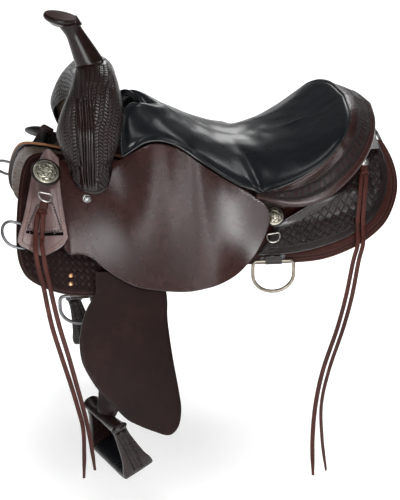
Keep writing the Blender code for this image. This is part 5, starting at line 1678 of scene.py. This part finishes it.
def stirrup_line():
    """Round the stirrup's outer side from one end of the bolt to the other: across, down and half width."""
    half_top, half_low, height = STIRRUP_TOP / 2, STIRRUP_BOTTOM / 2, STIRRUP_HEIGHT
    line = [(half_top, -0.013, 0.013), (half_top + 0.001, 0.010, 0.014), (half_low - 0.003, height * 0.55, 0.022),
            (half_low, height - STIRRUP_ROUND, 0.029), (half_low - 0.004, height - 0.007, 0.031),
            (half_low - STIRRUP_ROUND, height, 0.031), (half_low * 0.35, height, 0.031)]
    line += [(-a, d, w) for a, d, w in reversed(line)]
    return [tuple(p) for p in catmull([Vector(p) for p in line], 7)]


def make_stirrup():
    middle, axis, down, depth = bolt_frame()
    at = lambda a, d, t=0.0: middle + axis * a + down * d + depth * t
    line = stirrup_line()
    count = len(line)
    pts = [Vector((a, d)) for a, d, _ in line]
    rings, outer_side = [], []
    for i, (_, d, w) in enumerate(line):
        tangent = (pts[min(i + 1, count - 1)] - pts[max(i - 1, 0)]).normalized()
        normal = Vector((tangent.y, -tangent.x))
        thick = STIRRUP_THICK * mix(1.0, 1.25, smooth((d - STIRRUP_HEIGHT + 0.006) / 0.006))
        outer = pts[i]
        outwards = normal.dot(outer - Vector((0, STIRRUP_HEIGHT / 2))) > 0
        inner = outer - normal * thick if outwards else outer + normal * thick
        rings.append(catmull([at(*outer.lerp(inner, p), t * w) for p, t in FRAME_SECTION], 2, True))
        outer_side.append((outer, (outer - inner).normalized()))
    both("stirrup_frame", loft(rings), STIRRUP, "stirrup_{}", ["stirrup_{}"], "leather_tooled", sharp=70)
    # Rolled leather at the top: the yoke that wraps the bolt
    rings = []
    for k in range(YOKE_STEPS + 1):
        t = k / YOKE_STEPS
        reach = STIRRUP_TOP / 2 + 0.006
        p = at(mix(-reach, reach, t), -0.0140 + 0.0088 * (1 - (2 * t - 1) ** 2))
        size = mix(1.0, 0.8, 1 - abs(2 * t - 1))
        fatten = 1.0 + 0.22 * (math.exp(-((t - 0.05) / 0.04) ** 2) + math.exp(-((t - 0.95) / 0.04) ** 2))
        close = min(1.0, math.sqrt(max(0.02, 1 - (abs(2 * t - 1)) ** 14)))
        rings.append([p + down * (0.0086 * size * fatten * close * c) + depth * (0.0150 * size * fatten * close * d)
                      for c, d in circle(1.0, 24)])
    both("stirrup_yoke", loft(rings), STIRRUP, "stirrup_{}", slot="leather_tooled")
    # A braided lace down the middle of each leg, and whipped edges
    for tag, part in (("near", range(3, 24)), ("far", range(count - 24, count - 3))):
        leg = [outer_side[i] for i in part]
        fine = catmull([at(*(p + out * 0.0006)) for p, out in leg], 8)
        outs = [(at(*(p + out)) - at(*p)).normalized() for p, out in leg]
        lengths = steps_along(fine)
        for strand, phase in enumerate((0.0, 2.1, 4.2)):
            points = []
            for k, p in enumerate(fine):
                swing = lengths[k] / 0.012 * 2 * math.pi + phase
                points.append(p + depth * (0.0078 * math.sin(swing))
                              + outs[min(k // 8, len(outs) - 1)] * (0.0012 + 0.0008 * math.sin(2 * swing)))
            both(f"stirrup_lace_{tag}_{strand}", tube(points, 0.0022, 8), STIRRUP, "stirrup_{}",
                 slot="leather_tooled")
    for tag, share in (("fore", -0.86), ("aft", 0.86)):
        for leg, part in (("near", range(3, 26)), ("far", range(count - 26, count - 3))):
            path = []
            for i in part:
                outer, out = outer_side[i]
                path.append((at(*(outer + out * 0.0001), line[i][2] * share),
                             (at(*(outer + out)) - at(*outer)).normalized()))
            both(f"stirrup_stitch_{tag}_{leg}", stitches(path, 0.0036, 0.002), THREAD, "stirrup_{}")
    # Tread: a ribbed sole on the inside of the bottom
    rows = []
    for k in range(TREAD_ROWS + 1):
        reach = STIRRUP_BOTTOM / 2 - 0.020
        rib = 0.0009 * (0.5 + 0.5 * math.cos(k * math.pi / 2))
        rows.append([at(mix(-reach, reach, k / TREAD_ROWS), STIRRUP_HEIGHT - STIRRUP_THICK * 1.25 - 0.0014 - rib,
                        mix(-0.028, 0.028, q / TREAD_COLUMNS)) for q in range(TREAD_COLUMNS + 1)])
    shape, uv, edge = grid_sheet(rows, 0.0012, False, lambda p: -down)
    both("stirrup_tread", shape, WELT, "stirrup_{}", slot="leather_tooled", uv=uv, edge=edge)


make_stirrup()


def make_bolt():
    middle, axis, _, _ = bolt_frame()
    reach, head = STIRRUP_TOP / 2 + 0.0012, 0.0075
    half = [(0, 0.0045), (head * 0.55, 0.0043), (head * 0.85, 0.0035), (head, 0.0020), (head, 0), (BOLT_RADIUS, 0)]
    profile = [(r, -reach - h) for r, h in half] + [(r, reach + h) for r, h in reversed(half)]
    both("bolt", turned(profile, middle, axis, 28), DARK_STEEL, "stirrup_{}", ["stirrup_bolt_{}"], "nickel_steel",
         sharp=35)


make_bolt()


# Front strap, conchos, dees and small metal

OVERLAY = [[(-0.2890, 0.130), (-0.2830, 0.150), (-0.2760, 0.1765)],
           [(-0.2760, 0.1765), (-0.3000, 0.1800), (-0.3400, 0.1830)],
           [(-0.3400, 0.1830), (-0.3310, 0.160), (-0.3180, 0.130)],
           [(-0.3180, 0.130), (-0.3030, 0.1285), (-0.2890, 0.130)]]
SLOT = [[(-0.2745, 0.1775), (-0.3415, 0.1842)], [(-0.3415, 0.1842), (-0.3425, 0.1900)],
        [(-0.3425, 0.1900), (-0.2735, 0.1832)], [(-0.2735, 0.1832), (-0.2745, 0.1775)]]


def make_strap():
    outline, overlay, slot = rounded(CONCHO_STRAP, 0.004), rounded(OVERLAY, 0.003), rounded(SLOT, 0.002)
    over = lambda h: lambda x, s: strap_over(x, s) + h
    panel("plate_overlay", overlay, over(-0.0002), over(0.0021), STRAP, EDGE_BROWN, "saddle", [], "leather_brown",
          cell=0.005, radius=0.0010)
    # The slot is a nearly black sheet: painted shadow
    panel("plate_slot", slot, over(-0.0008), over(0.00012), SHADOW, SHADOW, "saddle", [], "leather_brown",
          cell=0.006, radius=0.0004)
    stitched("overlay_stitch", overlay, 0.0016, over(0.0021), BLACK_THREAD, length=0.0040, gap=0.0016, radius=0.0012)
    panel("concho_plate", outline, under_strap, strap_over, STRAP, EDGE_BROWN, "saddle", ["concho_strap_{}"],
          "leather_brown", cell=0.005)
    stitched("plate_stitch", outline, 0.0055, strap_over, PALE_THREAD, lambda x, s: s > 0.135, length=0.0050,
             gap=0.0022, radius=0.0010)


make_strap()


def relief(r, a):
    """Height of an engraved pattern at a share of the radius and an angle: a four-point star inside scrolls."""
    star = 0.30 + 0.20 * abs(math.cos(2 * a)) ** 3
    centre = smooth((0.13 - r) / 0.03)
    points = smooth((star - r) / 0.05) * (1 - 0.55 * smooth((r - 0.10) / 0.03) * smooth((0.2 - r) / 0.03))
    leaf = 0.5 + 0.5 * math.cos(8 * a + 5.5 * math.sin(r * 11))
    scroll = smooth((leaf - 0.35) / 0.3) * smooth((r - star - 0.04) / 0.05) * smooth((0.80 - r) / 0.04)
    rope = (0.5 + 0.5 * math.cos(40 * a + r * 30)) * smooth((r - 0.84) / 0.02) * smooth((0.94 - r) / 0.02)
    rim = smooth((r - 0.945) / 0.015)
    return min(1.0, centre * 0.9 + points * 0.85 + scroll * 0.8 + rope * 0.9 + rim * 0.8)


CONCHO_RINGS, CONCHO_SIDES = 46, 128


def make_concho(name, x, s, height, diameter, dome, beads):
    place, out, along, _ = frame_at(x, s, height)
    r, count = diameter / 2, CONCHO_SIDES
    across = out.cross(along)
    verts, tone = [place + out * (r * dome + 0.0009)], [1.0]
    for q in range(1, CONCHO_RINGS + 1):
        t = q / CONCHO_RINGS
        for k in range(count):
            a = 2 * math.pi * k / count
            up = relief(t, a)
            crown = r * dome * (1 - t * t) ** 0.8 if t < 1 else 0.0
            lift = crown + (up - 0.5) * 0.0010 * (r / 0.0235) + r * 0.14
            wide = r * t * (1.0 + 0.028 * abs(math.cos(beads / 2 * a)) * smooth((t - 0.93) / 0.07))
            verts.append(place + along * (wide * math.cos(a)) + across * (wide * math.sin(a)) + out * lift)
            tone.append(up)
    verts += [place + along * a + across * b + out * (r * 0.06) for a, b in circle(r * 0.97, count)]
    tone += [0.3] * count
    faces = [(0, 1 + k, 1 + (k + 1) % count) for k in range(count)]
    for a in range(1, 1 + CONCHO_RINGS * count, count):
        faces += [(a + k, a + count + k, a + count + (k + 1) % count, a + (k + 1) % count) for k in range(count)]
    faces.append(tuple(range(len(verts) - count, len(verts))))
    for made in both(f"{name}_silver", (verts, faces), ANTIQUE, "saddle", [name + "_{}"], "antique_silver", sharp=50):
        made.data.attributes.new("relief", "FLOAT", "POINT").data.foreach_set("value", tone)
    rosette, faces = turned([(0, -0.0002), (r * 1.17, -0.0002), (r * 1.22, r * 0.03), (r * 1.19, r * 0.085),
                             (r * 0.9, r * 0.10), (0, r * 0.10)], place, out, 96)
    pinked = []
    for v in rosette:
        drop = (v - place).dot(out)
        flat = v - place - out * drop
        a = math.atan2(flat.dot(across), flat.dot(along))
        pinked.append(place + out * drop + flat * (1.0 - 0.035 * abs(math.cos(16 * a))))
    both(f"{name}_rosette", (pinked, faces), ROSETTE, slot="leather_tooled")


def highest(surface, x, s, reach):
    return max(surface(x + a, s + b) for a, b in ((0, 0), (reach, 0), (-reach, 0), (0, reach), (0, -reach)))


REAR_CONCHO_PLACE = (0.118, 0.1415)
for name, surface, spot, lift, diameter, dome, beads in (
        ("front_concho", strap_over, CONCHO_PLACE, 0.0036, CONCHO_FRONT, 0.26, 36),
        ("rear_concho", over_rear, REAR_CONCHO_PLACE, 0.0012, CONCHO_REAR, 0.30, 28)):
    make_concho(name, *spot, highest(surface, *spot, 0.02) + lift, diameter, dome, beads)


def dee(middle, along, down, width, depth, wire):
    """A ring with a straight bar along and a round foot, and its bar's middle at middle."""
    along, down = Vector(along).normalized(), Vector(down).normalized()
    half, corner = width / 2, wire * 1.2
    path = [(k * (half - corner) / 2, 0.0) for k in range(-2, 3)]
    path += [(half - corner * 0.3, corner * 0.3), (half, corner * 1.1)]
    straight = max(depth - half * 0.92, corner * 1.6)
    path += [(half * math.cos(math.pi * k / 16), straight + half * 0.92 * math.sin(math.pi * k / 16))
             for k in range(17)]
    path += [(-half, corner * 1.1), (-half + corner * 0.3, corner * 0.3)]
    points = catmull([Vector(middle) + along * a + down * b for a, b in path], 4, True)
    return tube(points, wire / 2, 16, True, 1.0, along.cross(down))


def make_dees():
    for name, (x, s), height, width, depth, look, slot in (
            ("front_rigging_dee", RIGGING_FRONT, 0.0060, 0.072, 0.056, STEEL, "nickel_steel"),
            ("rear_rigging_dee", RIGGING_REAR, SKIRT_OUT + 0.0105, 0.076, 0.062, BRONZE, "nickel_bronze")):
        ahead = (back(x + 0.03, s, height) - back(x - 0.03, s, height)).normalized()
        level = Vector((ahead.x, ahead.y, 0)).normalized()
        shape = dee(back(x, s, height), level, (0, 0, -1), width, depth, DEE_WIRE)
        both(f"{name}_ring", shape, look, name + "_{}", [name + "_{}"], slot)
    place, _, along, down = frame_at(-0.3445, 0.195, SKIRT_OUT + RING_WIRE / 2 + SEAT_GAP)
    both("breast_collar_dee_ring", dee(place, down, -along, 0.046, 0.042, RING_WIRE), STEEL, "breast_collar_dee_{}",
         ["breast_collar_dee_{}"], "nickel_steel")
    for name, x, s, surface, extra in (("front_string_dee", -0.303, 0.1165, strap_over, 0.001),
                                       ("rear_string_dee", 0.116, 0.1655, over_rear, 0.0028)):
        height = max(surface(x + a, s + b) for a, b in ((0, 0), (0.014, 0), (-0.014, 0), (0, 0.02))) + extra
        place, _, along, down = frame_at(x, s, height + SMALL_WIRE / 2 + SEAT_GAP)
        both(f"{name}_ring", dee(place, along, down, 0.024, 0.014, SMALL_WIRE), SMALL_SILVER, name + "_{}",
             [name + "_{}"], "antique_silver")
    put("crupper_ring", dee((0.3405, 0, 0.05509), (0, 1, 0), (0.45, 0, -0.9), 0.030, 0.028, DEE_WIRE * 0.7), STEEL,
        "crupper_dee", ["crupper_dee"], "nickel_steel")


make_dees()


NUGGET = ((0, 0), (0.0100, 0), (0.0112, 0.0012), (0.0100, 0.0030), (0.0088, 0.0036), (0.0086, 0.0052),
          (0.0066, 0.0068), (0.0034, 0.0076), (0, 0.0078))
RIVET = ((0, -0.0003), (0.0043, -0.0003), (0.0046, 0.0006), (0.0040, 0.0016), (0.0026, 0.0026), (0, 0.0030))


def screw(r, h):
    """The profile of a washer with a domed screw head in it."""
    return [(0, -0.0002), (r, -0.0002), (r, h * 0.22), (r * 0.96, h * 0.30), (r * 0.66, h * 0.34), (r * 0.62, h * 0.30),
            (r * 0.60, h * 0.62), (r * 0.52, h * 0.84), (r * 0.34, h * 0.97), (r * 0.16, h), (r * 0.13, h * 0.72),
            (0, h * 0.70)]


def button(name, x, s, height, profile, look, slot, nodes=()):
    """A small turned part on both sides, at a height over the back."""
    place, out, _, _ = frame_at(x, s, height)
    both(name, turned(profile, place, out, 32), look, "saddle", nodes, slot, sharp=40)


def make_small_metal():
    x, s = -0.227, 0.1125
    button("screw", x, s, over_jockey(x, s) + 0.0004, screw(0.0080, 0.0046), NICKEL, "nickel_steel",
           ["jockey_screw_{}"])
    x, s = 0.294, 0.078
    button("nugget", x, s, over_rear(x, s) + 0.0058, NUGGET, SMALL_SILVER, "antique_silver", ["string_button_{}"])
    for k, (x, s) in enumerate(((-0.2645, 0.2455), (-0.2655, 0.2600))):
        button(f"rivet_{k}", x, s, SKIRT_OUT, RIVET, COPPER, "antique_silver")
    for k, x in enumerate((0.094, 0.1125, 0.131)):
        button(f"rigging_screw_{k}", x, 0.2068, SKIRT_OUT, screw(0.0046, 0.0030), STEEL, "nickel_steel")


make_small_metal()


# CAD nodes that stay get their materials

def dress(node, look):
    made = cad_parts[node]
    made.data.materials.clear()
    made.data.materials.append(look.material)


for node, look in (("ground_seat", LATIGO), ("tree_cantle", WOOD_IN_PAINTED_SHADE), ("fork", WOOD_IN_PAINTED_SHADE), ("horn_post", STEEL),
                   ("cantle_back", JOCKEY), ("crupper_tab", JOCKEY)):
    dress(node, look)
for _, label in NAMES:
    for node, look in (("tree_bar", WOOD_IN_PAINTED_SHADE), ("seat_riser", WOOD_IN_PAINTED_SHADE), ("stirrup_leather", FENDER),
                       ("front_rigging_keeper", STIRRUP), ("rear_rigging_keeper", STIRRUP)):
        dress(f"{node}_{label}", look)


# Floor and light

FLOOR_HEIGHT, FLOOR_REACH = -0.60, 30.0
FLOOR_GLOW = 0.30       # what a look at the floor adds to its white
LAMP_TARGET, LAMP_DISTANCE = Vector((0, -0.12, -0.03)), 3.0
WORLD_COLOUR, WORLD_STRENGTH = (0.93, 0.96, 1.0, 1.0), 0.12


def make_floor():
    mesh = bpy.data.meshes.new("floor")
    size, z = FLOOR_REACH, FLOOR_HEIGHT
    mesh.from_pydata([(-size, -size, z), (size, -size, z), (size, size, z), (-size, size, z)], [], [(0, 1, 2, 3)])
    look = Look("floor_paint", Roughness=0.9)
    grain = look.noise(look.place(), 6.0, 3.0)
    look.shader.inputs["Specular IOR Level"].default_value = 0.1
    look.finish(look.ramp(grain, [(0.3, (0.89, 0.89, 0.89)), (0.7, (0.92, 0.92, 0.92))]), grain * 0.05 + 0.87)
    # What looks at the floor sees it a little nearer to white
    path = look.nodes.new("ShaderNodeLightPath")
    seen = Wire(look, path.outputs["Is Camera Ray"]) + Wire(look, path.outputs["Is Glossy Ray"])
    seen = seen + Wire(look, path.outputs["Is Transmission Ray"])
    look.shader.inputs["Emission Color"].default_value = (1, 1, 1, 1)
    look.feed(look.shader.inputs["Emission Strength"], seen * FLOOR_GLOW)
    mesh.materials.append(look.material)
    made = placed("floor", mesh)


def softbox(name, azimuth, elevation, size, power):
    """An area lamp seen from the saddle in a direction."""
    light = bpy.data.lights.new(name, "AREA")
    light.shape = "RECTANGLE"
    light.size, light.size_y = size
    light.energy = power
    made = placed(name, light)
    away = direction(azimuth, elevation)
    made.location = LAMP_TARGET + away * LAMP_DISTANCE
    look_back(made, away)
    made.visible_camera = False


def sun(name, away, strength, angle):
    light = bpy.data.lights.new(name, "SUN")
    light.energy = strength
    light.angle = math.radians(angle)
    made = placed(name, light)
    look_back(made, away)
    made.visible_glossy = False


make_floor()
sun("overhead", (0.10, 0.05, 1.0), 2.5, 70)
softbox("low_strip", -8, 4, (1.7, 0.7), 52)
softbox("middle", 2, 23, (0.20, 0.7), 6)
softbox("upper_patch", 17, 40, (0.5, 0.6), 12)
softbox("front_left", -36, 47, (1.0, 0.5), 9)
softbox("right", 66, 54, (0.6, 0.5), 7)
softbox("behind", 162, 22, (0.8, 0.7), 10)
softbox("flank", 125, 62, (0.5, 0.5), 8)
softbox("streak", -118, 54, (0.4, 0.5), 6)

world = bpy.data.worlds.new("studio")
scene.world = world
world.use_nodes = True
world.node_tree.nodes["Background"].inputs["Color"].default_value = WORLD_COLOUR
world.node_tree.nodes["Background"].inputs["Strength"].default_value = WORLD_STRENGTH
scene.view_settings.view_transform = "Standard"
